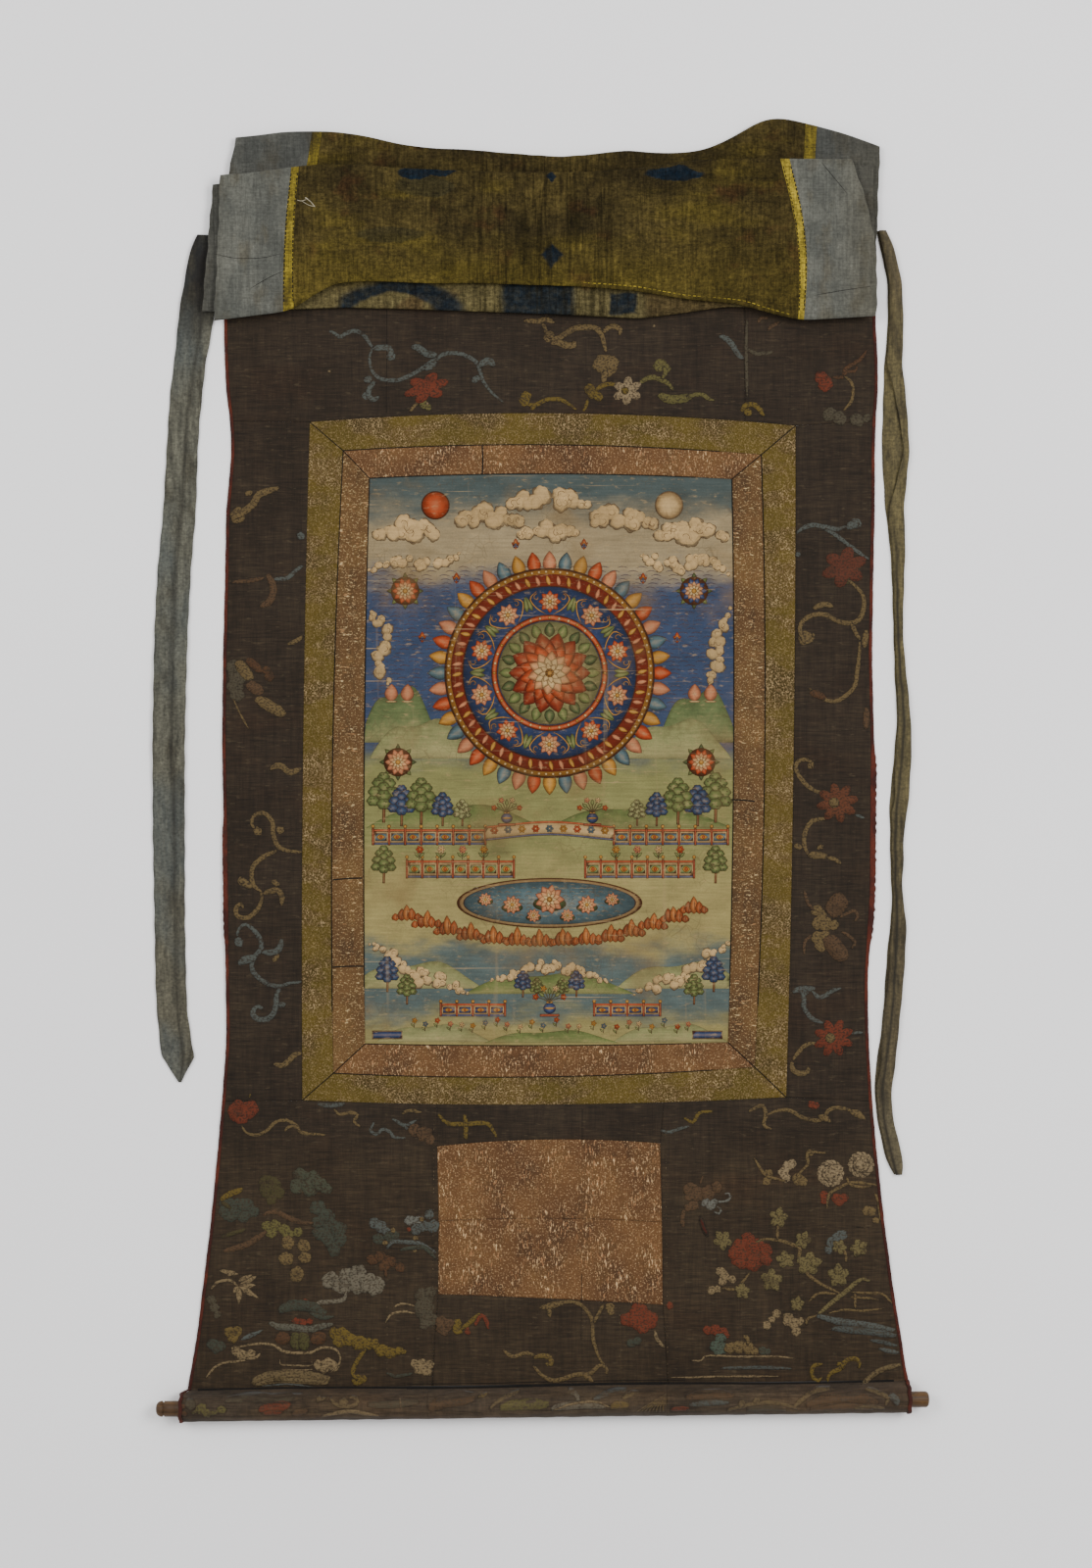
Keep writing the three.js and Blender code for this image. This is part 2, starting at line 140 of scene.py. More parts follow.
def on_side(path, y):
    return (float(across_at(path, y)), y)


def fill(edges, u, v):
    """Points of a four-sided cloth; u runs left to right and v top to bottom."""
    top, bottom, left, right = edges
    across = mix(along(left, v), along(right, v), u[:, None])
    down = mix(along(top, u), along(bottom, u), v[:, None])
    upper = mix(top[0], top[-1], u[:, None])
    lower = mix(bottom[0], bottom[-1], u[:, None])
    return across + down - mix(upper, lower, v[:, None])


def lie(x, y):
    """How far the cloth has lifted from the surface in its soft undulations."""
    wave = (
        np.sin(x / 97 + 1.1 * np.sin(y / 151)) + np.sin(y / 118 - x / 260 + 0.8)
        + 0.6 * np.sin(x / 41 + y / 67) + 0.5 * np.sin(y / 37 - x / 88 + 2)
        + 0.35 * np.sin(x / 23 + y / 190)
    )
    edge = ease(250, 360, np.abs(x - 8))
    return 0.30 * (wave + 3.4) * (0.55 + 0.9 * edge)


# The rectangles of the mount: corners from the top left clockwise, and how far each side bows
FRAMES = {
    "canvas": {
        "corners": [(-192, 326.5), (214.5, 325.5), (210, -306.5), (-197, -308)],
        "bow": (5.5, 4.2, -2.7, -3.5),
    },
    "inner": {
        "corners": [(-221.5, 357.5), (247.5, 353), (240, -334), (-232.5, -341)],
        "bow": (8.7, 7.5, -7.5, -6.4),
    },
    "outer": {
        "corners": [(-259, 389.5), (286, 385.5), (275.5, -368), (-267.5, -371.5)],
        "bow": (12, 3, -6.5, -3.5),
    },
}
# Outer edges of the cloth: height, left edge and right edge, from the top down
SIDES = [
    (619.5, -355, 375.5), (500.5, -355, 375.5), (456.5, -354, 378), (423.5, -352.5, 378),
    (390.5, -348, 375.5), (357.5, -346.5, 374.5), (324.5, -349, 374.5), (291.5, -352.5, 374.5),
    (225.5, -353.5, 373), (126.5, -356, 371.5), (27.5, -357, 374), (-71.5, -355, 373),
    (-137.5, -354, 372.5), (-236.5, -353, 366.5), (-302.5, -352, 367.5), (-372, -357, 371.5),
    (-423.5, -361.5, 376), (-507, -369.5, 385), (-588.5, -379.5, 396), (-639, -385.5, 404.5),
    (-667.5, -391, 408.5),
]
# Width of the side edging
PIPING = 3.0


def frame_edges(name):
    tl, tr, br, bl = FRAMES[name]["corners"]
    top, right, bottom, left = FRAMES[name]["bow"]
    return (bowed(tl, tr, top, 1), bowed(bl, br, bottom, 1), bowed(tl, bl, left, 0), bowed(tr, br, right, 0))


canvas_edges, inner_edges, outer_edges = (frame_edges(name) for name in FRAMES)


def crease(x):
    return (x, axis_y(x) + SLEEVE["ahead"])


def side_line(side):
    column = 1 if side == "left" else 2
    points = [(row[column], row[0]) for row in SIDES]
    return eased(points + [crease(CREASE_ENDS[column - 1])], 1, passes=12)


outside_left, outside_right = side_line("left"), side_line("right")
inside_left = outside_left + [PIPING, 0]
inside_right = outside_right - [PIPING, 0]
# The door's side seams, the picture border's foot where they meet it, and the seam over the border
seam_left = eased([(-116, -423), (-114.5, -507), (-115, -589), (-119, -639), crease(-121.5)], 1, 8)
seam_right = eased([(134, -419.5), (136, -508), (137, -601), (139.5, -639), crease(142.5)], 1, 8)
outer_top, outer_bottom, outer_left, outer_right = outer_edges
bottom_at = {x: cut(outer_bottom, 0, x - 1, x)[-1] for x in (-116.5, 138.0)}
split = cut(outer_top, 0, 228, 229)[-1]


def strips(prefix, outside, inside):
    """A border's four strips between two frames, mitred at its corners."""
    def mitres(a, b):
        return line([a[0], b[0]]), line([a[-1], b[-1]])

    (top, bottom, left, right), (in_top, in_bottom, in_left, in_right) = outside, inside
    return {
        f"{prefix}_top": (top, in_top, *mitres(top, in_top)),
        f"{prefix}_bottom": (in_bottom, bottom, *mitres(in_bottom, bottom)),
        f"{prefix}_left": (*mitres(left, in_left), left, in_left),
        f"{prefix}_right": (*mitres(in_right, right), in_right, right),
    }


door_rows = [
    bowed((-116, -423), (134, -419.5), 6, 1),
    bowed((-114.5, -507), (136, -508), 3.5, 1),
    bowed((-115, -589), (137, -601), 1, 1),
]


def cloth_edges():
    """Each cloth's top, bottom, left and right edge, by its node."""
    made = {"painting_canvas": canvas_edges}
    made.update(strips("inner_border", inner_edges, canvas_edges))
    made.update(strips("outer_border", outer_edges, inner_edges))
    left_seam = line([on_side(inside_left, HIGH_SEAM), outer_top[0]])
    right_seam = line([outer_top[-1], on_side(inside_right, HIGH_SEAM)])
    low_left = line([on_side(inside_left, LOW_SEAM), outer_bottom[0]])
    low_right = line([outer_bottom[-1], on_side(inside_right, LOW_SEAM)])
    split_side = line([(split[0], TOP), split])
    made["mount_top_left"] = (
        line([on_side(inside_left, TOP), (split[0], TOP)]),
        np.vstack([left_seam, cut(outer_top, 0, outer_top[0][0], split[0])]),
        cut(inside_left, 1, TOP, HIGH_SEAM), split_side,
    )
    made["mount_top_right"] = (
        line([(split[0], TOP), on_side(inside_right, TOP)]),
        np.vstack([cut(outer_top, 0, split[0], outer_top[-1][0]), right_seam]),
        split_side, cut(inside_right, 1, TOP, HIGH_SEAM),
    )
    made["mount_side_left"] = (left_seam, low_left, cut(inside_left, 1, HIGH_SEAM, LOW_SEAM), outer_left)
    made["mount_side_right"] = (right_seam, low_right, outer_right, cut(inside_right, 1, HIGH_SEAM, LOW_SEAM))
    first, last = bottom_at[-116.5], bottom_at[138.0]
    left_side = np.vstack([first, seam_left])
    right_side = np.vstack([last, seam_right])
    made["mount_bottom_left"] = (
        np.vstack([low_left, cut(outer_bottom, 0, outer_bottom[0][0], first[0])]),
        line([inside_left[-1], seam_left[-1]]),
        cut(inside_left, 1, LOW_SEAM, inside_left[-1][1]), left_side,
    )
    made["mount_bottom_right"] = (
        np.vstack([cut(outer_bottom, 0, last[0], outer_bottom[-1][0]), low_right]),
        line([seam_right[-1], inside_right[-1]]),
        right_side, cut(inside_right, 1, LOW_SEAM, inside_right[-1][1]),
    )
    made["mount_band_centre"] = (
        cut(outer_bottom, 0, first[0], last[0]), door_rows[0],
        line([first, seam_left[0]]), line([last, seam_right[0]]),
    )
    for name, row, tops in (("door_upper", 0, (-423, -507, -419.5, -508)),
                            ("door_lower", 1, (-507, -589, -508, -601))):
        made[name] = (
            door_rows[row], door_rows[row + 1],
            cut(seam_left, 1, tops[0], tops[1]), cut(seam_right, 1, tops[2], tops[3]),
        )
    made["mount_bottom_centre"] = (
        door_rows[2], line([seam_left[-1], seam_right[-1]]),
        cut(seam_left, 1, -589, seam_left[-1][1]), cut(seam_right, 1, -601, seam_right[-1][1]),
    )
    return made


# ------- Making a piece of cloth

def steps_for(size, cell, edge=1.3):
    """Shares of a cloth's width, with a narrow cell along each seam."""
    count = max(2, int(round(size / cell)))
    inner = np.linspace(edge / size, 1 - edge / size, count + 1)
    return np.concatenate([[0], inner, [1]])


def meshed(name, bm):
    mesh = bpy.data.meshes.new(name)
    bm.to_mesh(mesh)
    bm.free()
    return mesh


def grid_mesh(name, wide, deep, size=1):
    bm = bmesh.new()
    bmesh.ops.create_grid(bm, x_segments=wide, y_segments=deep, size=size)
    return meshed(name, bm)


def places_of(mesh):
    flat = np.empty(len(mesh.vertices) * 3)
    mesh.vertices.foreach_get("co", flat)
    return flat.reshape(-1, 3)


def put(mesh, places):
    mesh.vertices.foreach_set("co", (places * MM).astype(np.float32).ravel())


def in_scene(name, data):
    made = bpy.data.objects.new(name, data)
    bpy.context.scene.collection.objects.link(made)
    return made


def smooth_piece(mesh, finish, thick=0.0, backing=None):
    """One piece made of a mesh, with a wall of the given thickness under its face."""
    mesh.polygons.foreach_set("use_smooth", [True] * len(mesh.polygons))
    mesh.update()
    piece = in_scene(mesh.name, mesh)
    mesh.materials.append(finish)
    if thick:
        wall = piece.modifiers.new("thickness", "SOLIDIFY")
        wall.thickness = thick * MM
        wall.offset = -1
    if backing:
        mesh.materials.append(backing)
        wall.material_offset = 1
    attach(piece, "root")
    return piece


def grid_piece(name, us, vs, shape, finish, thick=THICK, backing=None):
    """A cloth over a grid: shape gives millimetres, and numbers by name, for arrays of u and v."""
    mesh = grid_mesh(name, len(us) - 1, len(vs) - 1)
    flat = places_of(mesh)
    i = np.rint((flat[:, 0] + 1) / 2 * (len(us) - 1)).astype(int)
    j = np.rint((1 - flat[:, 1]) / 2 * (len(vs) - 1)).astype(int)
    places, extra = shape(us[i], vs[j])
    put(mesh, np.stack(places, -1))
    for key, values in extra.items():
        made = mesh.attributes.new(key, "FLOAT", "POINT")
        made.data.foreach_set("value", np.asarray(values, np.float32))
    return smooth_piece(mesh, finish, thick, backing)


def sleeve_path():
    """The cloth's way round the roller, as distances ahead of its axis and heights."""
    radius = SLEEVE["radius"]
    ahead, high = SLEEVE["ahead"], SLEEVE["crease"] - AXIS_HIGH
    leave = math.atan2(high, ahead) + math.acos(radius / math.hypot(ahead, high))
    outside = radius + THICK / 2
    points = [(ahead, SLEEVE["crease"] + THICK / 2)]
    points += [(outside * math.cos(a), AXIS_HIGH + outside * math.sin(a))
               for a in np.linspace(leave, 1.5 * math.pi, 40)]
    return line(points + [(ahead - 4.5, 0.0)])


SLEEVE_PATH = sleeve_path()
SLEEVE_LENGTH = length(SLEEVE_PATH)
SLEEVE_ROWS = 46


def rows_to_sleeve(flat_rows, share):
    """Rows of a cloth that goes on round the roller after the given share of its length."""
    return np.concatenate([flat_rows[:-1], np.linspace(share, 1, SLEEVE_ROWS)])


def settled(x, y):
    """The cloth's undulations, which die away towards the roller."""
    return mix(lie(x, y), 0, ease(-650, -690, y))


def crease_rise(x, y):
    """How far the cloth has risen on its last way to the crease beside the roller."""
    return (SLEEVE["crease"] - THICK / 2) * ease(24, 0, y - axis_y(x) - SLEEVE["ahead"])


def along_roller(x, s):
    """Where the cloth that meets the crease at x lies along the roller, s of the way round it."""
    start, end = CREASE_ENDS
    return mix(x, mix(*SLEEVE_ENDS, (x - start) / (end - start)), ease(0, 0.12, s))


def round_roller(flat, tube_x, path, grow, s):
    """The laid places, and past the crease those on the roller, pushed out from its axis."""
    tube = (tube_x, axis_y(tube_x) + path[:, 0] * grow,
            np.maximum(AXIS_HIGH + (path[:, 1] - AXIS_HIGH) * grow, 0))
    return np.where(s > 0, tube, flat)


def tube_wrinkle(x, s):
    return 0.45 * np.sin(x / 9 + 3 * np.sin(x / 31) + 2 * s) + 0.35 * np.sin(x / 4.3 + 5 * s + 1)


def laid_cloth(name, edges, finish, cell=5.0, sleeved=False):
    """A cloth of the sheet, dipping at its seams; a sleeved one goes on round the roller."""
    top, bottom, left, right = edges
    wide = (length(top) + length(bottom)) / 2
    deep = (length(left) + length(right)) / 2
    share = deep / (deep + SLEEVE_LENGTH) if sleeved else 1.0
    us, vs = steps_for(wide, cell), steps_for(deep, cell) * share
    if sleeved:
        vs = rows_to_sleeve(vs, share)

    def shape(u, v):
        flat_v = np.clip(v / share, 0, 1)
        foot = 1 if sleeved else 1 - GAP / deep
        x, y = fill(edges, mix(GAP / wide, 1 - GAP / wide, u), mix(GAP / deep, foot, flat_v)).T
        nearest = np.minimum(np.minimum(u, 1 - u) * wide, flat_v * deep)
        if not sleeved:
            nearest = np.minimum(nearest, (1 - flat_v) * deep)
        down = 0.55 * np.exp(-nearest / 0.9)
        lift = settled(x, y) + crease_rise(x, y) if sleeved else lie(x, y)
        z = np.maximum(lift - down, 0) + THICK
        if not sleeved:
            return (x, y, z), {}
        s = np.clip((v - share) / (1 - share), 0, 1)
        path = along(SLEEVE_PATH, s)
        tube_x = along_roller(x, s)
        wrung = tube_wrinkle(tube_x, s * 6) * ease(0.02, 0.1, s) * ease(1, 0.8, s)
        reach = np.hypot(path[:, 0], path[:, 1] - AXIS_HIGH)
        grow = 1 + 0.35 * wrung / np.maximum(reach, 1)
        return round_roller((x, y, z), tube_x, path, grow, s), {}

    piece = grid_piece(name, us, vs, shape, finish, backing=LINING)
    outline = np.vstack([top, right, bottom[::-1], left[::-1]])
    x, y = outline.T
    cut_area = abs(np.dot(x, np.roll(y, -1)) - np.dot(y, np.roll(x, -1))) / 2
    cut_area += np.ptp(bottom[:, 0]) * SLEEVE_LENGTH if sleeved else 0
    cut_long = np.ptp(y) + (SLEEVE_LENGTH if sleeved else 0)
    cut_long * MM
    cut_area * MM * MM
    return piece


# ------- Finishes

def paint(code):
    """A colour as mixed on the palette, six hex figures, in the shader's own numbers."""
    parts = [int(code[k:k + 2], 16) / 255 for k in (0, 2, 4)]
    return tuple(c / 12.92 if c <= 0.04045 else ((c + 0.055) / 1.055) ** 2.4 for c in parts) + (1.0,)


class Number:
    """A number on a finish's wire; arithmetic on it adds the steps to the finish."""

    def __init__(self, finish, socket):
        self.finish, self.socket = finish, socket

    def step(self, operation, *others):
        return self.finish.node("ShaderNodeMath", {"operation": operation}, [self, *others])

    def __add__(self, other):
        return self.step("ADD", other)

    def __mul__(self, other):
        return self.step("MULTIPLY", other)

    __radd__, __rmul__ = __add__, __mul__

    def __sub__(self, other):
        return self.step("SUBTRACT", other)

    def __rsub__(self, other):
        return self.finish.node("ShaderNodeMath", {"operation": "SUBTRACT"}, [other, self])

    def __truediv__(self, other):
        return self.step("DIVIDE", other)

    def __abs__(self):
        return self.step("ABSOLUTE")

    def __pow__(self, other):
        return self.step("POWER", other)

    def high(self, other):
        return self.step("MAXIMUM", other)

    def ramp(self, start, end):
        """0 up to start, 1 from end, with a soft change between."""
        return self.finish.node("ShaderNodeMapRange", {"interpolation_type": "SMOOTHSTEP"},
                                {"Value": self, "From Min": start, "From Max": end})


class Finish:
    """One material of the object, put together from shader nodes; base is its colour so far."""

    def __init__(self, name, rough=0.85, sheen=0.0, specular=0.3, tone=(1, 1, 1)):
        self.tone, self.base = (*tone, 1.0), None
        self.material = bpy.data.materials.new(name)
        self.material.use_nodes = True
        self.tree = self.material.node_tree
        self.tree.nodes.clear()
        self.shader = self.tree.nodes.new("ShaderNodeBsdfPrincipled")
        out = self.tree.nodes.new("ShaderNodeOutputMaterial")
        self.tree.links.new(self.shader.outputs[0], out.inputs["Surface"])
        self.shader.inputs["Roughness"].default_value = rough
        self.shader.inputs["Specular IOR Level"].default_value = specular
        if sheen:
            self.shader.inputs["Sheen Weight"].default_value = sheen
            self.shader.inputs["Sheen Roughness"].default_value = 0.5
        self.place = self.node("ShaderNodeTexCoord", out="Object")

    def node(self, kind, settings=None, inputs=(), out=0):
        """Adds a node; its inputs are numbers on wires, plain values or colours as hex figures."""
        made = self.tree.nodes.new(kind)
        for key, value in (settings or {}).items():
            setattr(made, key, value)
        pairs = inputs.items() if isinstance(inputs, dict) else enumerate(inputs)
        for key, value in pairs:
            if isinstance(value, Number):
                self.tree.links.new(value.socket, made.inputs[key])
            else:
                made.inputs[key].default_value = paint(value) if isinstance(value, str) else value
        return Number(self, made.outputs[out])

    def give(self, key, value):
        self.tree.links.new(value.socket, self.shader.inputs[key])

    def xyz(self):
        parts = self.node("ShaderNodeSeparateXYZ", inputs=[self.place]).socket.node
        return [Number(self, socket) for socket in parts.outputs]

    def attribute(self, name, out="Fac"):
        return self.node("ShaderNodeAttribute", {"attribute_name": name}, out=out)

    def spread(self, x, y, z, shift=(0, 0)):
        """Object coordinates scaled along each axis."""
        scaled = self.node("ShaderNodeVectorMath", {"operation": "MULTIPLY"}, [self.place, (x, y, z)])
        return self.node("ShaderNodeVectorMath", {"operation": "ADD"}, [scaled, (*shift, 0)])

    def noise(self, x, y=None, detail=3.0, rough=0.55, shift=(0, 0), bend=0.0):
        """Noise with cells of about 1/x and 1/y metres."""
        where = self.spread(x, y or x, x, shift)
        return self.node("ShaderNodeTexNoise", {}, {
            "Vector": where, "Scale": 1.0, "Detail": detail, "Roughness": rough, "Distortion": bend})

    def blend(self, share, first, second, mode="MIX"):
        return self.node("ShaderNodeMix", {"data_type": "RGBA", "blend_type": mode},
                         {0: share, 6: first, 7: second}, out=2)

    def shade(self, colour, value, amount):
        """Lightens and darkens a colour by a number that runs about 0.5."""
        factor = self.node("ShaderNodeMapRange", {}, {
            "Value": value, "From Min": 0.2, "From Max": 0.8,
            "To Min": 1 - amount, "To Max": 1 + amount})
        grey = self.node("ShaderNodeCombineColor", {}, [factor, factor, factor])
        return self.blend(1.0, colour, grey, "MULTIPLY")

    def ground(self, share, first, second):
        """Starts the base from two colours."""
        self.base = self.blend(share, first, second)

    def over(self, share, colour):
        """Lays a colour over the base."""
        self.base = self.blend(share, self.base, colour)

    def toned(self, share, red, green, blue):
        """Multiplies the base."""
        self.base = self.blend(share, self.base, (red, green, blue, 1), "MULTIPLY")

    def stain(self, colour, amount, limits, *size, **more):
        """Lays a colour over the base in clouds, from the first limit of a noise to the second."""
        self.over(self.noise(*size, **more).ramp(*limits) * amount, colour)

    def grain(self, value, amount):
        """Lightens and darkens the base by a number that runs about 0.5."""
        self.base = self.shade(self.base, value, amount)

    def speckle(self, amount, *size, **more):
        """Lightens and darkens the base by a noise, which it gives back."""
        value = self.noise(*size, **more)
        self.grain(value, amount)
        return value

    def weave(self, ribbed, lined, weft=700.0, warp=620.0):
        """Grain of ribs across the cloth and of threads along it: fine, uneven and broken."""
        ribs = (self.noise(55, weft, 2, 0.6) * 0.75
                + self.noise(14, weft * 0.36, 2, shift=(3, 1)) * 0.25)
        lines = (self.noise(warp, 40, 2, 0.6, (7, 2)) * 0.6
                 + self.noise(warp * 0.3, 9, 2, shift=(1, 9)) * 0.4)
        self.grain(ribs, ribbed)
        self.grain(lines, lined)
        return ribs, lines

    def done(self, height=None, strength=0.4, depth=0.0006):
        """Deepens the base by the finish's tone, gives it to the shader and adds the relief."""
        self.give("Base Color", self.blend(1.0, self.base, self.tone, "MULTIPLY"))
        if height:
            self.give("Normal", self.node("ShaderNodeBump", {}, {
                "Strength": strength, "Distance": depth, "Height": height}, out="Normal"))
        return self.material


AXIS_SLOPE = (ROD["right_y"] - ROD["left_y"]) / (ROD["right"] - ROD["left"])
# Where the sleeve's paler silk starts and is whole, in metres below the middle
SLEEVE_STARTS = [-(axis_y(0) + SLEEVE["ahead"] + aside) * MM for aside in (2, -3)]
BROCADE = {"rough": 0.82, "sheen": 0.04, "specular": 0.2, "tone": (0.47, 0.43, 0.35)}


def dark_ground(finish):
    """The dark ribbed silk with its brown and greenish fading, palest round the sleeve."""
    finish.ground(finish.noise(9, detail=4, shift=(2, 5)).ramp(0.38, 0.62), "33291f", "3a3026")
    finish.stain("43392d", 0.5, (0.45, 0.75), 26, detail=5, shift=(8, 1))
    finish.stain("3d2c1f", 0.45, (0.52, 0.72), 5, 12, shift=(0, 3))
    ribs, lines = finish.weave(0.62, 0.4)
    slubs = finish.speckle(0.4, 22, 300, rough=0.7, shift=(6, 6))
    finish.speckle(0.2, 150, 30, shift=(2, 8))
    x, y, _ = finish.xyz()
    finish.toned((-0.38 - y).ramp(0.0, 0.08), 1.24, 1.22, 1.10)
    sleeve = (x * AXIS_SLOPE - y).ramp(*SLEEVE_STARTS)
    finish.toned(sleeve, 1.48, 1.62, 2.02)
    wrung = finish.noise(7, 30, detail=4, shift=(3, 9)).ramp(0.42, 0.62)
    finish.toned(sleeve * wrung * 0.6, 1.5, 1.36, 1.1)
    return ribs * 0.6 + slubs * 0.4, lines, sleeve


def make_dark_silk():
    finish = Finish("dark_ribbed_silk", **BROCADE)
    ribs, lines, _ = dark_ground(finish)
    finish.stain("6b5f4c", 0.4, (0.60, 0.74), 90, 300, shift=(4, 4))
    return finish.done(ribs * 0.7 + lines * 0.3, 0.55)


def make_brocade_threads():
    """Woven figures: coloured wefts over the same dark ground, worn through in places."""
    finish = Finish("brocade_threads", **BROCADE)
    ribs, _, sleeve = dark_ground(finish)
    dye = finish.blend(1.0, finish.attribute("dye", "Color"), (1.95, 2.0, 2.0, 1), "MULTIPLY")
    stipple = finish.noise(420, 520, detail=1, rough=0.5, shift=(5, 5))
    wear = finish.noise(34, 60, detail=4, shift=(6, 2))
    ragged = finish.noise(130, 560, detail=2, shift=(9, 9))
    shown = (0.22 + stipple.ramp(0.34, 0.56) * 0.78) * (1 - wear.ramp(0.54, 0.78) * 0.8)
    edge = (finish.attribute("rim") + (ragged - 0.5) * 2.4).ramp(0.0, 0.9)
    finish.over(shown * (1 - sleeve * 0.28) * edge * 0.9, finish.shade(dye, ribs, 0.3))
    return finish.done(ribs * 0.6 + stipple * 0.4, 0.5)


def make_fleck_silk(name, colours, bands, speck, tone, cover=0.53, turned=False, bare=0.12):
    """A supplementary-weft silk, its metal threads broken into flecks; turned lays the weft upright."""
    ground, clear, dark, fleck, pale = colours
    finish = Finish(name, rough=0.8, sheen=0.03, specular=0.2, tone=tone)

    def woven(across, down, **more):
        return finish.noise(down, across, **more) if turned else finish.noise(across, down, **more)

    finish.ground(finish.noise(16, detail=4, shift=(1, 2)).ramp(0.35, 0.65), dark, ground)
    finish.stain(dark, 0.4, (0.55, 0.8), 38, detail=5, shift=(2, 8))
    ribs, lines = finish.weave(0.2, 0.22, 640, 640)
    figure = woven(*bands, detail=4, rough=0.6, shift=(3, 7))
    short = woven(*speck, detail=2, shift=(5, 1))
    worn = finish.noise(60, shift=(0, 6))
    grouped = figure.ramp(0.44, 0.56)
    finish.over((1 - grouped) * 0.45, clear)
    flecks = short.ramp(cover, cover + 0.1) * (bare + grouped * (1 - bare)) * (1 - worn.ramp(0.55, 0.8) * 0.5)
    bright = woven(330, 130, detail=1, shift=(8, 8)).ramp(0.42, 0.66)
    finish.over(flecks * 0.9, finish.blend(bright, fleck, pale))
    dots = finish.noise(560, detail=1, shift=(2, 2))
    finish.over(dots.ramp(0.58, 0.70) * 0.4, pale)
    finish.over((1 - dots.ramp(0.30, 0.44)) * 0.45, dark)
    return finish.done(ribs * 0.4 + lines * 0.3 + flecks * 0.5, 0.5)


def make_plain_silk(name, light, dark, dirt, thread=0.2, tone=(0.62, 0.60, 0.55), soiled=0.55, paler_to_right=0.0):
    """Plain silk, cotton or thread; a folded strip is soiled at its outer edge and has painted shade on its
    lower runs.
    """
    finish = Finish(name, sheen=0.04, specular=0.2, tone=tone)
    finish.ground(finish.noise(22, detail=4, shift=(3, 3)).ramp(0.35, 0.65), dark, light)
    finish.stain(dirt, soiled, (0.5, 0.7), 45, 20, detail=5, shift=(1, 6))
    x, folded = finish.xyz()[0], finish.attribute("folded")
    finish.over(abs(x + 0.012).ramp(0.33, 0.385) * folded * 0.5, dirt)
    ribs, lines = finish.weave(thread, thread, 760, 760)
    finish.speckle(thread, 300, 40, rough=0.7, shift=(6, 6))
    finish.speckle(thread * 1.4, 280, 330, rough=0.75, shift=(1, 1))
    # Painted shade: a veil strip's lower runs, under the top of the stack, are darker
    shade_on_lower_runs = 1 - finish.attribute("layer").ramp(3.6, 4.4)
    finish.toned(shade_on_lower_runs * folded, 0.66, 0.66, 0.68)
    # The strip is painted lighter towards the right
    if paler_to_right:
        finish.toned(x.ramp(-0.2, 0.2) * paler_to_right, 1.7, 1.7, 1.8)
    return finish.done(ribs * 0.5 + lines * 0.5)


def make_veil_silk():
    """Thin olive silk, tied and dyed: navy marks, rust spots and yellow ground."""
    finish = Finish("veil_olive_silk", rough=0.9, specular=0.1, tone=(0.48, 0.50, 0.42))
    x, y, _ = finish.xyz()
    layer = finish.attribute("layer")
    front = layer.ramp(4.4, 4.6)
    under = layer.ramp(1.4, 1.6) * (1 - layer.ramp(3.4, 3.6))
    finish.ground(finish.noise(13, 16, detail=5, shift=(2, 1)).ramp(0.36, 0.64), "3a301c", "584a2a")
    finish.stain("76652a", 0.6, (0.50, 0.72), 7, 20, detail=4, shift=(6, 4))
    finish.over((0.605 - y).ramp(0.0, 0.06) * 0.32 * front, "7a6826")
    finish.over(x.ramp(0.08, 0.24) * front * 0.4, "42361c")
    finish.over(under * (0.56 - y).ramp(0.0, 0.03) * 0.9, "6c6044")
    finish.stain("4c2a1c", 0.4, (0.56, 0.70), 24, 30, shift=(9, 3))
    # The dye has crept, so the marks' edges wander
    px = x + (finish.noise(60, shift=(1, 1)) - 0.5) * 0.012
    py = y + (finish.noise(60, shift=(4, 7)) - 0.5) * 0.010

    def lozenge(cx, cy, rx, ry, power=1.0):
        reach = abs((px - cx * MM) / (rx * MM)) ** power + abs((py - cy * MM) / (ry * MM)) ** power
        return 1 - reach.ramp(0.75, 1.1)

    def patch(cx, cy, rx, ry):
        reach = abs((px - cx * MM) / (rx * MM)).high(abs((py - cy * MM) / (ry * MM)))
        return 1 - reach.ramp(0.82, 1.08)

    top_marks = lozenge(12.5, 574, 15, 16, 0.85).high(lozenge(12, 661, 8, 6))
    top_marks = top_marks.high(lozenge(-141, 666, 20, 6.5, 1.8)).high(lozenge(-118, 667, 26, 3.2, 1.8))
    top_marks = top_marks.high(lozenge(150, 665, 34, 9, 1.7) * (1 - lozenge(187, 675, 28, 8, 2.0)))
    haze = lozenge(-128, 651, 34, 13, 2.0).high(lozenge(-168, 597, 40, 9, 2.0))
    finish.over(haze * front * 0.4, "2c2e26")
    ring = lozenge(-157, 508, 76, 42, 2.0) * (1 - lozenge(-164, 510, 47, 24, 2.0))
    under_marks = patch(-3, 516, 42, 30).high(ring).high(patch(92, 521, 16, 13))
    marks = top_marks * front + under_marks * under * 0.96
    mottled = finish.noise(120, 160, shift=(3, 3)).ramp(0.2, 0.7)
    finish.over(marks * (0.78 + 0.2 * mottled), "0d1e30")
    finish.over(patch(165, 520, 50, 20) * under * 0.5, "4c3620")
    # Dark streaks, densest down the middle: painted shade in the veil's fine creases, also used for their
    # relief
    crease_shade_zone = 1 - abs(x / 0.105).ramp(0.6, 1.0)
    streaks = finish.noise(190, 9, rough=0.65, shift=(2, 2))
    finish.over(streaks.ramp(0.50, 0.60) * (0.18 + crease_shade_zone * 0.82) * 0.5, "1e1806")
    ribs, lines = finish.weave(0.3, 0.35, 520, 520)
    finish.speckle(0.85, 250, 330, rough=0.8, shift=(5, 0))
    finish.speckle(0.6, 330, 34, rough=0.75, shift=(7, 5))
    finish.speckle(0.45, 70, 95, detail=4, rough=0.7, shift=(5, 8))
    # Painted shade: the lowest run, at the back under the others, is darker
    finish.over((1 - layer.ramp(0.4, 1.4)) * 0.3, "2a200a")
    return finish.done(ribs * 0.3 + lines * 0.4 + streaks * crease_shade_zone * 1.6, 0.6)


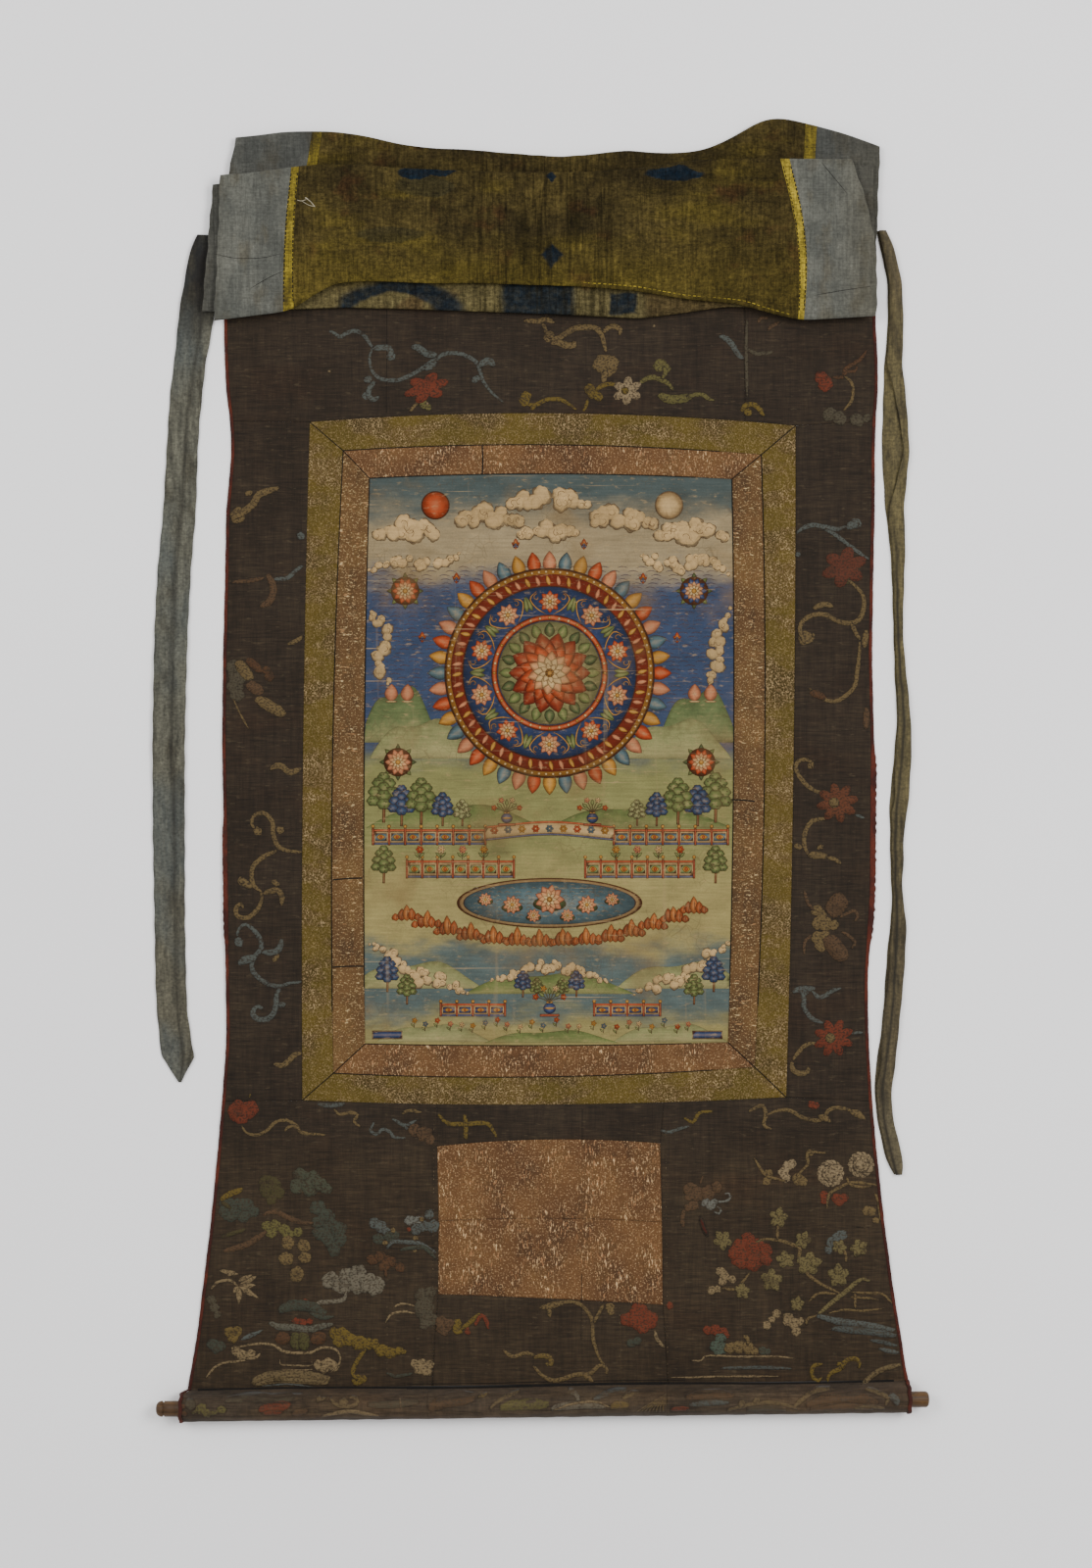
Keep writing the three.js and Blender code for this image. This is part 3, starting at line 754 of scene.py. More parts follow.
def make_ribbon_silk(name, hidden, light, low, dirt, cool):
    """A hanging ribbon, with a painted shadow where it comes out from under the veil."""
    finish = Finish(name, sheen=0.08, tone=(0.55, 0.54, 0.50))
    _, y, _ = finish.xyz()
    drift = (finish.noise(18, 7, detail=4, shift=(2, 3)) - 0.5) * 0.12
    # The hidden colour is a painted shadow, cast by the veil where the ribbon comes out from under it
    finish.ground((y + drift).ramp(0.45, 0.56), light, hidden)
    finish.over((0.05 - y + drift).ramp(-0.1, 0.35) * 0.8, low)
    finish.stain(dirt, 0.7, (0.5, 0.66), 60, 18, detail=5, shift=(1, 6))
    ribs, lines = finish.weave(0.25, 0.3, 700, 700)
    worn = finish.speckle(0.6, 190, 26, rough=0.7, shift=(5, 9))
    finish.stain(cool, 0.4, (0.45, 0.62), 9, 6, shift=(4, 0))
    finish.speckle(0.55, 300, 340, detail=2, rough=0.7, shift=(0, 5))
    # A painted shadow along the ribbon's fold, from the folded attribute
    finish.over(finish.attribute("folded") * 0.85, "1d1911")
    return finish.done(ribs * 0.3 + lines * 0.3 + worn, 0.5)


def make_piping():
    finish = Finish("worn_red_cotton", rough=0.9, tone=(0.40, 0.32, 0.30))
    finish.ground(finish.noise(40, 25, detail=4, shift=(3, 3)).ramp(0.4, 0.62), "4e2216", "783822")
    finish.stain("3a2c22", 0.6, (0.56, 0.7), 120, 45, detail=4, shift=(1, 8))
    twill = finish.speckle(0.35, 900, 500, detail=1, shift=(0, 1))
    return finish.done(twill, 0.6)


def make_wood():
    finish = Finish("rubbed_softwood", rough=0.6, specular=0.35, tone=(0.27, 0.215, 0.108))
    grain = finish.noise(20, 420, detail=4, rough=0.6, shift=(0, 2), bend=0.4)
    finish.ground(grain.ramp(0.35, 0.65), "6b4e28", "96733f")
    finish.stain("3c2912", 0.6, (0.55, 0.75), 70, 160, detail=4, shift=(4, 4))
    finish.stain("b9965c", 0.35, (0.6, 0.72), 240, shift=(6, 6))
    finish.give("Roughness", grain * 0.25 + 0.45)
    return finish.done(grain, 0.5, 0.0008)


def with_age(finish):
    """Brush streaks, rubbing, stains and the cotton's weave over any painted colour."""
    stroke = finish.speckle(0.2, 22, 380, rough=0.6, shift=(1, 4))
    finish.speckle(0.22, 30, 44, detail=4, shift=(7, 7))
    finish.stain("a89a7c", 0.45, (0.56, 0.74), 90, 260, detail=4, rough=0.65, shift=(5, 5))
    finish.stain("b8ab90", 0.5, (0.66, 0.74), 7, 460, detail=2, shift=(8, 3))
    finish.stain("9c9278", 0.25, (0.62, 0.76), 90, 5, shift=(6, 1))
    finish.stain("75664a", 0.45, (0.52, 0.72), 12, detail=5, shift=(9, 4))
    finish.stain("3a352a", 0.5, (0.58, 0.74), 5, 9, detail=4, shift=(3, 8))
    weave = finish.speckle(0.12, 520, detail=2, shift=(4, 1))
    cracks = finish.node("ShaderNodeTexVoronoi", {"feature": "DISTANCE_TO_EDGE"},
                         {"Vector": finish.spread(110, 90, 110), "Scale": 1.0, "Randomness": 1.0})
    faint = finish.noise(20, detail=2, shift=(2, 9)).ramp(0.5, 0.65)
    finish.over((1 - cracks.ramp(0.0, 0.05)) * faint * 0.35, "4a4234")
    return finish.done(weave * 0.5 + stroke * 0.5, 0.35)


def make_canvas_paint():
    """Ground colours of the picture: sky, haze, water and meadow, laid on in dry strokes."""
    finish = Finish("distemper_ground", rough=0.9, specular=0.15, tone=(0.83, 0.67, 0.48))
    _, y, _ = finish.xyz()
    sway = (finish.noise(14, 26, detail=4, shift=(2, 2)) - 0.5) * 0.075
    fine = (finish.noise(70, 240, shift=(7, 2)) - 0.5) * 0.012
    level = y + sway + fine
    finish.base = "43545f"
    for start, end, lower in ((0.262, 0.312, "8a8676"), (0.195, 0.235, "34466e"), (-0.01, 0.04, "77805c"),
                              (-0.14, -0.07, "8a8a66"), (-0.215, -0.185, "4c606c"),
                              (-0.295, -0.262, "858662")):
        finish.ground(level.ramp(start, end), lower, finish.base)
    return with_age(finish)


def make_painted_figures():
    """Painted motifs with a darker wash inwards from a drawn outline."""
    finish = Finish("distemper_figures", rough=0.9, specular=0.15, tone=(0.82, 0.68, 0.52))
    dye = finish.attribute("dye", "Color")
    wobble = (finish.noise(160, detail=2, shift=(3, 1)) - 0.5) * 0.6
    inwards = finish.attribute("heart") + wobble
    grey = finish.blend(1.0, dye, (0.52, 0.48, 0.46, 1), "MULTIPLY")
    finish.ground(inwards.ramp(0.0, 0.6), grey, dye)
    finish.over(inwards.ramp(0.45, 1.0) * 0.7, finish.blend(0.28, dye, "b8a888"))
    broken = finish.noise(300, detail=2, shift=(6, 4)).ramp(0.3, 0.5)
    outline = 1 - (finish.attribute("rim") + wobble * 0.4).ramp(0.22, 0.62)
    finish.over(outline * (0.35 + broken * 0.45), "3c2014")
    return with_age(finish)


DARK = make_dark_silk()
THREADS = make_brocade_threads()
RED_BROWN = ("74512f", "704a2c", "523620", "b27e58", "efc79b")
OLD_GOLD = ("6a5620", "786810", "4e3f12", "8c7454", "cdb38c")
INNER = make_fleck_silk("red_brown_fleck_silk", RED_BROWN, (46, 24), (640, 150), (0.62, 0.63, 0.57), 0.55)
INNER_TURNED = make_fleck_silk("red_brown_fleck_silk_turned", RED_BROWN, (42, 120), (520, 150),
                               (0.58, 0.645, 0.56), 0.57, turned=True)
OUTER = make_fleck_silk("old_gold_fleck_silk", OLD_GOLD, (14, 26), (680, 520), (0.455, 0.43, 0.36), 0.485,
                        bare=0.34)
PIPE = make_piping()
WOOD = make_wood()
CANVAS = make_canvas_paint()
FIGURES = make_painted_figures()
VEIL_OLIVE = make_veil_silk()
VEIL_GREY = make_plain_silk("veil_grey_silk", "70716b", "5b5d59", "5a5547", 0.3, (0.57, 0.56, 0.52), 0.6)
VEIL_YELLOW = make_plain_silk("veil_yellow_silk", "b0962a", "84701c", "4a3c10", 0.62, (0.455, 0.48, 0.54),
                              0.75, paler_to_right=0.5)
LINING = make_plain_silk("lining_cotton", "8c7f64", "7a6e56", "5c523e", 0.25)
RIBBON_GREY = make_ribbon_silk("ribbon_grey_silk", "17120e", "646358", "5c584a", "3e3a2e", "5a6468")
RIBBON_OLIVE = make_ribbon_silk("ribbon_olive_silk", "5a5038", "665c3c", "544a36", "3a3220", "6e6650")
# Dark thread for seams and stitches; the same finish paints the shadow in the sleeve's crease and the shade
# in the veil's creases
DARK_THREAD_AND_SHADOW = make_plain_silk("sewing_thread_and_painted_shadow", "17120d", "0e0b08", "241d16", 0.3, (0.42, 0.40, 0.36))
THREAD_PALE = make_plain_silk("loose_thread_pale", "cfc9b8", "b8b09c", "9a9078")


# ------- The sheet

EDGES = cloth_edges()
SHEET_FINISH = {"painting_canvas": CANVAS, "door_upper": INNER, "door_lower": INNER}
for node, edges in EDGES.items():
    finish = SHEET_FINISH.get(node)
    if finish is None:
        finish = OUTER if node.startswith("outer") else DARK
        if node.startswith("inner"):
            finish = INNER_TURNED if node.endswith(("left", "right")) else INNER
    sleeved = node in ("mount_bottom_left", "mount_bottom_right", "mount_bottom_centre")
    cell = 4.0 if sleeved else 5.0
    piece = laid_cloth(f"{node}_cloth", edges, finish, cell, sleeved)
    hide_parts(node)


def piping(side):
    """A folded red edging, rounded, a little uneven, down one side and round the sleeve's end."""
    outer = outside_left if side == "left" else outside_right
    flat_length = length(outer)
    share = flat_length / (flat_length + SLEEVE_LENGTH)
    vs = rows_to_sleeve(np.linspace(0, share, 420), share)
    sign = 1 if side == "left" else -1

    def shape(u, v):
        x, y = along(outer, v / share).T
        ragged = 0.35 * np.sin(y / 3.1 + 2 * np.sin(y / 17)) + 0.3 * np.sin(y / 7.7)
        torn = ease(-50, -80, y) if side == "left" else ease(34, 0, y)
        torn = torn * ease(-206, -176, y)
        teeth = np.sin(y * 12.9898) * np.sin(y * 3.7)
        start = -0.25 + 0.3 * ragged - torn * (1.9 if side == "left" else 2.9) - torn * 0.9 * teeth
        x = x + sign * mix(start, PIPING + 0.8, u if sign > 0 else 1 - u)
        crown = 0.9 * np.sin(np.pi * np.clip(u, 0, 1)) ** 0.6
        z = settled(x, y) + 0.6 + crown + crease_rise(x, y)
        s = np.clip((v - share) / (1 - share), 0, 1)
        tube_x = along_roller(x, s) + 0.5 * np.sin(s * 40)
        grow = 1 + (0.9 + crown * 0.5) / SLEEVE["radius"]
        return round_roller((x, y, z), tube_x, along(SLEEVE_PATH, s), grow, s), {}

    piece = grid_piece(f"piping_{side}_edging", np.linspace(0, 1, 7), vs, shape, PIPE, thick=0.9)
    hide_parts(f"piping_{side}")


piping("left")
piping("right")


# ------- The veil, folded back and forth

# Each fold of the veil from its hidden root to its hem: the strips' edges across, and its line
FOLDS = [
    ("root", [-350, -272, -262, 282, 293, 368], [(-400, 612), (400, 612)]),
    ("top", [-341.5, -256, -245, 296.5, 309.5, 380], [
        (-341.5, 708.5), (-320, 710.5), (-287.5, 715), (-232.5, 715.5), (-205, 712), (-188.5, 708.5),
        (-160, 701), (-122.5, 696.5), (-80, 695), (-34.5, 691), (20.5, 686.5), (60, 690),
        (97.5, 694.5), (120, 692), (141.5, 691), (165, 691.5), (185.5, 695), (213, 707.5),
        (246, 727), (260, 730), (273.5, 730), (306.5, 722.5), (339.5, 713), (380, 698.5)]),
    ("bottom", [-379, -287.5, -275.5, 286.5, 297.5, 373.5], [
        (-379, 512.5), (-276.5, 515), (-217.5, 517), (-158, 515.5), (-99.5, 513.5), (-12.5, 510.5),
        (47, 508), (110.5, 504.5), (163.5, 511.5), (208.5, 518), (273.5, 516), (374.5, 509.5)]),
    ("top", [-367, -284, -273, 280, 290, 372], [
        (-367, 655), (-202, 670), (47, 661), (163.5, 673), (372, 676)]),
    ("bottom", [-362, -286, -274, 284, 292, 371], [(-362, 540), (-202, 562), (47, 556), (371, 530)]),
    ("top", [-358, -278.5, -270, 267.5, 278, 348], [
        (-358, 664.5), (-317.5, 667.5), (-282, 673), (-246, 676.5), (-202, 676.5), (-158, 672),
        (-99.5, 670), (-40, 667.5), (47, 667.5), (105, 671.5), (163.5, 680), (223, 683),
        (267, 683), (348, 682)]),
    ("hem", [-365, -287.5, -275.5, 287.5, 294, 374.5], [
        (-365, 501), (-287.5, 510.5), (-275.5, 513.5), (-258, 527), (-228.5, 543.5), (-187.5, 545.5),
        (-128, 542.5), (-70, 543), (-10.5, 541), (47, 539), (105, 534.5), (163.5, 525), (223, 519),
        (252.5, 510.5), (282, 503), (291, 501.5), (374.5, 506)]),
]
FACING = {"root": 0, "top": 1, "bottom": -1, "hem": 0}
# Height of the lowest run and from one run to the next
FIRST = 2.1
PITCH = 2.7
FRONT = len(FOLDS) - 2
BEND_ROWS = 5
STRIPS = [
    ("veil_border_left", VEIL_GREY, "veil_grey"), ("veil_stripe_left", VEIL_YELLOW, "veil_yellow"),
    ("veil_centre", VEIL_OLIVE, "veil_olive"), ("veil_stripe_right", VEIL_YELLOW, "veil_yellow"),
    ("veil_border_right", VEIL_GREY, "veil_grey"),
]
# How far each strip edge of the front run bows aside between its fold and its hem
WANDER = {0: 0.5, 1: -3.0, 2: -3.0, 3: 9.0, 4: 10.0, 5: 11.0}


def gather(x, y):
    """Soft folds shared by every run of the veil, so that they nest."""
    centre = np.exp(-((x - 5) / 95) ** 2)
    return (
        1.1 * np.sin(x / 27 + 0.9 * np.sin(y / 33)) + 0.8 * np.sin(x / 13.5 + y / 90)
        + centre * (1.1 * np.sin(x / 5.2 + 0.6 * np.sin(y / 21)) + 0.7 * np.sin(x / 3.1 + y / 47))
        + 1.3 * np.exp(-((y - 575 - (x - 300) * 0.5) / 9) ** 2) * ease(180, 300, x)
        + 1.2 * np.exp(-((y - 560 + (x + 290) * 0.45) / 8) ** 2) * ease(-270, -340, x)
    ) * 0.7 + 1.6


def veil_rows():
    """Each row of the folded path: which folds it lies between and how far along."""
    rows = []
    for k in range(FRONT + 1):
        reach = 150 if k in (1, 2, 5) else 100
        steps = int(reach / (4 if k == FRONT else 7))
        rows += [("run", k, float(t)) for t in np.linspace(0, 1, steps + 1)]
        if k < FRONT:
            rows += [("bend", k + 1, s / BEND_ROWS) for s in range(1, BEND_ROWS)]
    return rows


ROWS = veil_rows()


def fold_place(k, strip, share):
    _, edges, path = FOLDS[k]
    x = mix(edges[strip], edges[strip + 1], share)
    smooth = eased(path, 0, passes=30)
    return x, np.interp(x, smooth[:, 0], smooth[:, 1])


def veil_strip(strip):
    name, finish, slot = STRIPS[strip]
    wide = FOLDS[2][1][strip + 1] - FOLDS[2][1][strip]
    us = steps_for(wide, 3.2 if strip == 2 else 3.5, edge=0.8)
    vs = np.linspace(0, 1, len(ROWS))
    radius = PITCH / 2
    back_off = radius + THICK / 2

    def shape(u, v):
        row = np.rint(v * (len(ROWS) - 1)).astype(int)
        x, y, z, layer = (np.zeros(len(u)) for _ in range(4))
        inset = mix(GAP / wide, 1 - GAP / wide, u)
        for index, (kind, k, t) in enumerate(ROWS):
            here = row == index
            share = inset[here]
            if kind == "run":
                x0, y0 = fold_place(k, strip, share)
                x1, y1 = fold_place(k + 1, strip, share)
                y0 = y0 - FACING[FOLDS[k][0]] * back_off
                y1 = y1 - FACING[FOLDS[k + 1][0]] * back_off
                x[here] = mix(x0, x1, t)
                y[here] = mix(y0, y1, t)
                if k == FRONT:
                    lean = mix(WANDER[strip], WANDER[strip + 1], share)
                    x[here] += lean * math.sin(math.pi * t)
                z[here] = FIRST + PITCH * k
                layer[here] = k
            else:
                x0, y0 = fold_place(k, strip, share)
                facing = FACING[FOLDS[k][0]]
                angle = math.pi * (t - 0.5)
                x[here] = x0
                y[here] = y0 - facing * back_off + facing * radius * math.cos(angle)
                z[here] = FIRST + PITCH * (k - 1) + radius + radius * math.sin(angle)
                layer[here] = k - 1 + (t > 0.5)
        ragged = 0.5 * np.sin(y / 4.1 + layer * 2) + 0.35 * np.sin(y / 9.3 + layer)
        edge = (strip == 0) * np.exp(-u * wide / 3) - (strip == 4) * np.exp(-(1 - u) * wide / 3)
        x = x + ragged * edge
        z = z + THICK / 2 + gather(x, y) * 0.9
        slack = 0.35 * np.sin(x / 17 + layer * 1.7) * np.sin(y / 25 + layer)
        return (x, y, z + slack), {"layer": layer, "folded": np.ones(len(x))}

    piece = grid_piece(f"{name}_cloth", us, vs, shape, finish, thick=0.8)
    middles = [np.interp(0, *zip(*path)) for _, _, path in FOLDS]
    run = sum(abs(b - a) for a, b in zip(middles, middles[1:]))
    wide * MM
    (run + 15) * MM
    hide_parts(name)


for index in range(len(STRIPS)):
    veil_strip(index)


# ------- Ribbons

# Height, left edge and right edge, from the top down
LEFT_RIBBON = [
    (599.5, -384.5, -358), (577.5, -394.5, -358.5), (555.5, -397.5, -360.5), (533.5, -402, -363),
    (511.5, -405.5, -366), (489.5, -407.5, -369), (456.5, -411, -375.5), (423.5, -415.5, -379),
    (390.5, -417.5, -382.5), (357.5, -419.5, -384.5), (291.5, -423, -386.5), (225.5, -429.5, -392),
    (159.5, -433, -395.5), (93.5, -434, -397.5), (27.5, -435, -399), (-71.5, -435, -399),
    (-170.5, -433, -399), (-236.5, -432, -397.5), (-269.5, -430.5, -396.5), (-302.5, -427.5, -392),
    (-324.5, -425, -388),
]
RIGHT_RIBBON = [
    (604, 377.5, 387), (590.5, 379, 393.5), (571, 384.5, 399), (546.5, 389, 404.5),
    (524.5, 389.5, 405.5), (489.5, 389, 406.5), (456.5, 385.5, 404.5), (423.5, 384.5, 408.5),
    (390.5, 383.5, 411), (357.5, 382.5, 413), (324.5, 384.5, 410), (291.5, 386.5, 406.5),
    (258.5, 391, 408.5), (225.5, 393.5, 407.5), (192.5, 394.5, 406.5), (159.5, 395.5, 405.5),
    (126.5, 396.5, 407.5), (93.5, 397.5, 411), (60.5, 400, 414), (27.5, 397.5, 415.5),
    (-5.5, 394.5, 414), (-38.5, 391, 412), (-71.5, 392, 406.5), (-104.5, 392, 406.5),
    (-130, 393.5, 404.5), (-154, 394, 406.5), (-170.5, 392.5, 410), (-203.5, 389, 408.5),
    (-236.5, 386.5, 406.5), (-269.5, 384.5, 403), (-302.5, 381, 400), (-335.5, 375.5, 396.5),
    (-368.5, 374.5, 392), (-401.5, 379, 396.5), (-434.5, 386.5, 405.5), (-447.5, 391, 406),
    (-454.5, 396, 404.5),
]


def ribbon_lines(rows):
    left = eased([(x, y) for y, x, _ in rows], 1, passes=10)
    right = eased([(x, y) for y, _, x in rows], 1, passes=10)
    return left, right


def left_ribbon():
    """The grey ribbon, folded once along its length and ending in a point."""
    left, right = ribbon_lines(LEFT_RIBBON)
    high, low, square, point_x = LEFT_RIBBON[0][0], -351.0, -324.5, -404.5

    def shape(u, v):
        y = mix(high, low, v)
        start, end = across_at(left, np.maximum(y, square)), across_at(right, np.maximum(y, square))
        point = np.clip((-322 - y) / 29, 0, 1)
        start, end = mix(start, point_x - 1.2, point), mix(end, point_x + 1.2, point)
        x = mix(start, end, u) + 0.3 * np.sin(y / 5.3) * (np.abs(u - 0.5) > 0.45)
        curled = 2.2 * (2 * u - 1) ** 2 * (0.4 + 0.6 * np.sin(y / 90 + 1)) ** 2
        ripple = 0.9 * np.sin(y / 38 + 3 * u) + 0.5 * np.sin(y / 15 + 5 * u)
        fold = 1.1 * np.exp(-((u - 0.62 + 0.08 * np.sin(y / 130)) / 0.07) ** 2)
        z = THICK + 0.3 + curled + (ripple + 1.4) * 0.45 + fold
        # The fold's ridge also gives the painted shadow along it
        return (x, y, z), {"folded": np.clip(fold, 0, 1) * 0.7}

    piece = grid_piece("ribbon_left_cloth", np.linspace(0, 1, 13), np.linspace(0, 1, 240), shape,
                       RIBBON_GREY, thick=0.7)
    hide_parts("ribbon_left")


def right_ribbon():
    """The olive ribbon, its right edge folded over onto itself."""
    left, right = ribbon_lines(RIGHT_RIBBON)
    bend = 1.3

    def shape(u, v):
        y = mix(RIGHT_RIBBON[0][0], RIGHT_RIBBON[-1][0], v)
        start, end = across_at(left, y), across_at(right, y)
        upper = np.clip(36 - (end - start), 4, end - start - 2)
        # The lower half, the bend round its edge, and the flap that comes back over it
        arc = np.clip((u - 0.5) / 0.12, 0, 1)
        back = np.clip((u - 0.62) / 0.38, 0, 1)
        round_edge = end - bend + bend * np.sin(np.pi * arc)
        flap = np.where(u < 0.62, round_edge, mix(end - bend, end - upper, back))
        x = np.where(u < 0.5, mix(start, end - bend, u / 0.5), flap)
        z = np.where(u < 0.5, 0, np.where(u < 0.62, bend - bend * np.cos(np.pi * arc), 2 * bend))
        twist = 1.0 * np.sin(y / 46 + 0.7)
        lift = (1.6 + twist) * (1 + 0.5 * np.sin(y / 27)) * ease(0, 6, x - start) * 0.6
        ridge = 1.2 * np.exp(-((x - mix(start, end, 0.45)) / 3) ** 2)
        z = 0.75 + z + np.clip(lift + ridge, 0, 4) + 0.3 * np.sin(y / 9)
        # A painted shadow along the fold, darkest in the ribbon's lower part
        fold_x = mix(start, end, 0.44 + 0.06 * np.sin(y / 60))
        dark = np.exp(-((x - fold_x) / 1.6) ** 2) * ease(330, 200, y)
        x = x + 0.25 * np.sin(y / 6.1)
        return (x, y, np.maximum(z, 0.7)), {"folded": dark}

    piece = grid_piece("ribbon_right_cloth", np.linspace(0, 1, 29), np.linspace(0, 1, 300), shape,
                       RIBBON_OLIVE, thick=0.6)
    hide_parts("ribbon_right")


left_ribbon()
right_ribbon()


# ------- Roller

def roller():
    """The turned rod: two grooves and a rounded end at the left, plain pegs, a thicker middle."""
    left, right = ROD["left"], ROD["right"]
    profile = [
        (left, 0.0), (left, 3.5), (left + 0.6, 5.4), (left + 1.8, 7.0), (left + 3.6, 8.2),
        (left + 5.4, 8.8), (left + 7.0, 8.75), (left + 7.5, 7.7), (left + 8.2, 7.4), (left + 8.9, 7.7),
        (left + 9.4, 8.7), (left + 20, 8.8), (-403, 8.8), (-398, 12.6), (408, 12.6), (413, 8.8),
        (430, 8.8), (431.6, 8.3), (432.9, 7.0), (433.7, 5.0), (434, 3.2), (434, 0.0),
    ]
    bm = bmesh.new()
    verts = [bm.verts.new((x, radius, 0)) for x, radius in profile]
    edges = [bm.edges.new(pair) for pair in zip(verts, verts[1:])]
    bmesh.ops.spin(bm, geom=verts + edges, cent=(0, 0, 0), axis=(1, 0, 0), angle=2 * math.pi,
                   steps=56, use_merge=True)
    bmesh.ops.remove_doubles(bm, verts=bm.verts, dist=0.01)
    bmesh.ops.recalc_face_normals(bm, faces=bm.faces)
    tilt = math.atan2(ROD["right_y"] - ROD["left_y"], right - left)
    for vert in bm.verts:
        x, y, z = vert.co
        uneven = 1 + 0.012 * math.sin(x / 7 + 3 * math.atan2(z, y))
        y, z = y * uneven, z * uneven
        vert.co = (
            (x * math.cos(tilt) - y * math.sin(tilt)) * MM,
            (x * math.sin(tilt) + y * math.cos(tilt) + axis_y(0)) * MM,
            (z + AXIS_HIGH) * MM,
        )
    piece = smooth_piece(meshed("roller_turned", bm), WOOD)
    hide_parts("roller_rod")


roller()


# ------- Figures: woven into the silk, or painted on the canvas

def over_sheet(x, y):
    """Top of the sheet or of the sleeve at a place."""
    flat = settled(x, y) + THICK + crease_rise(x, y)
    ahead = y - axis_y(x)
    upper = SLEEVE_PATH[:np.argmin(SLEEVE_PATH[:, 0]) + 1][::-1]
    return np.where(ahead < SLEEVE["ahead"], np.interp(ahead, upper[:, 0], upper[:, 1]), flat)


def polar(centre, reach, angle, squash=1.0):
    return (centre[0] + reach * math.cos(angle), centre[1] + reach * math.sin(angle) * squash)


def curve(points):
    """A smooth line through a few points."""
    p = line(points)
    if len(p) == 2:
        return mix(p[0], p[1], np.linspace(0, 1, 9)[:, None])
    p = np.vstack([2 * p[0] - p[1], p, 2 * p[-1] - p[-2]])
    t = np.linspace(0, 1, 8, endpoint=False)[:, None]
    made = [0.5 * (2 * b + (c - a) * t + (2 * a - 5 * b + 4 * c - d) * t ** 2
                   + (3 * b - a - 3 * c + d) * t ** 3)
            for a, b, c, d in zip(p, p[1:], p[2:], p[3:])]
    return np.vstack(made + [p[-2:-1]])


def curl(centre, radius, start, turns, count):
    """Points of a spiral that winds in to its centre."""
    shares = [k / count for k in range(count + 1)]
    return [polar(centre, radius * (1 - 0.82 * t), start + turns * 2 * math.pi * t) for t in shares]


# Where shapes already lie, counted in squares from a corner outside the cloth
SQUARE = 4
CORNER = (520, 800)
# How much higher each shape lies than those under it, and how far all keep inside their cloth
CLIMB = 0.003
INSET = 0.6


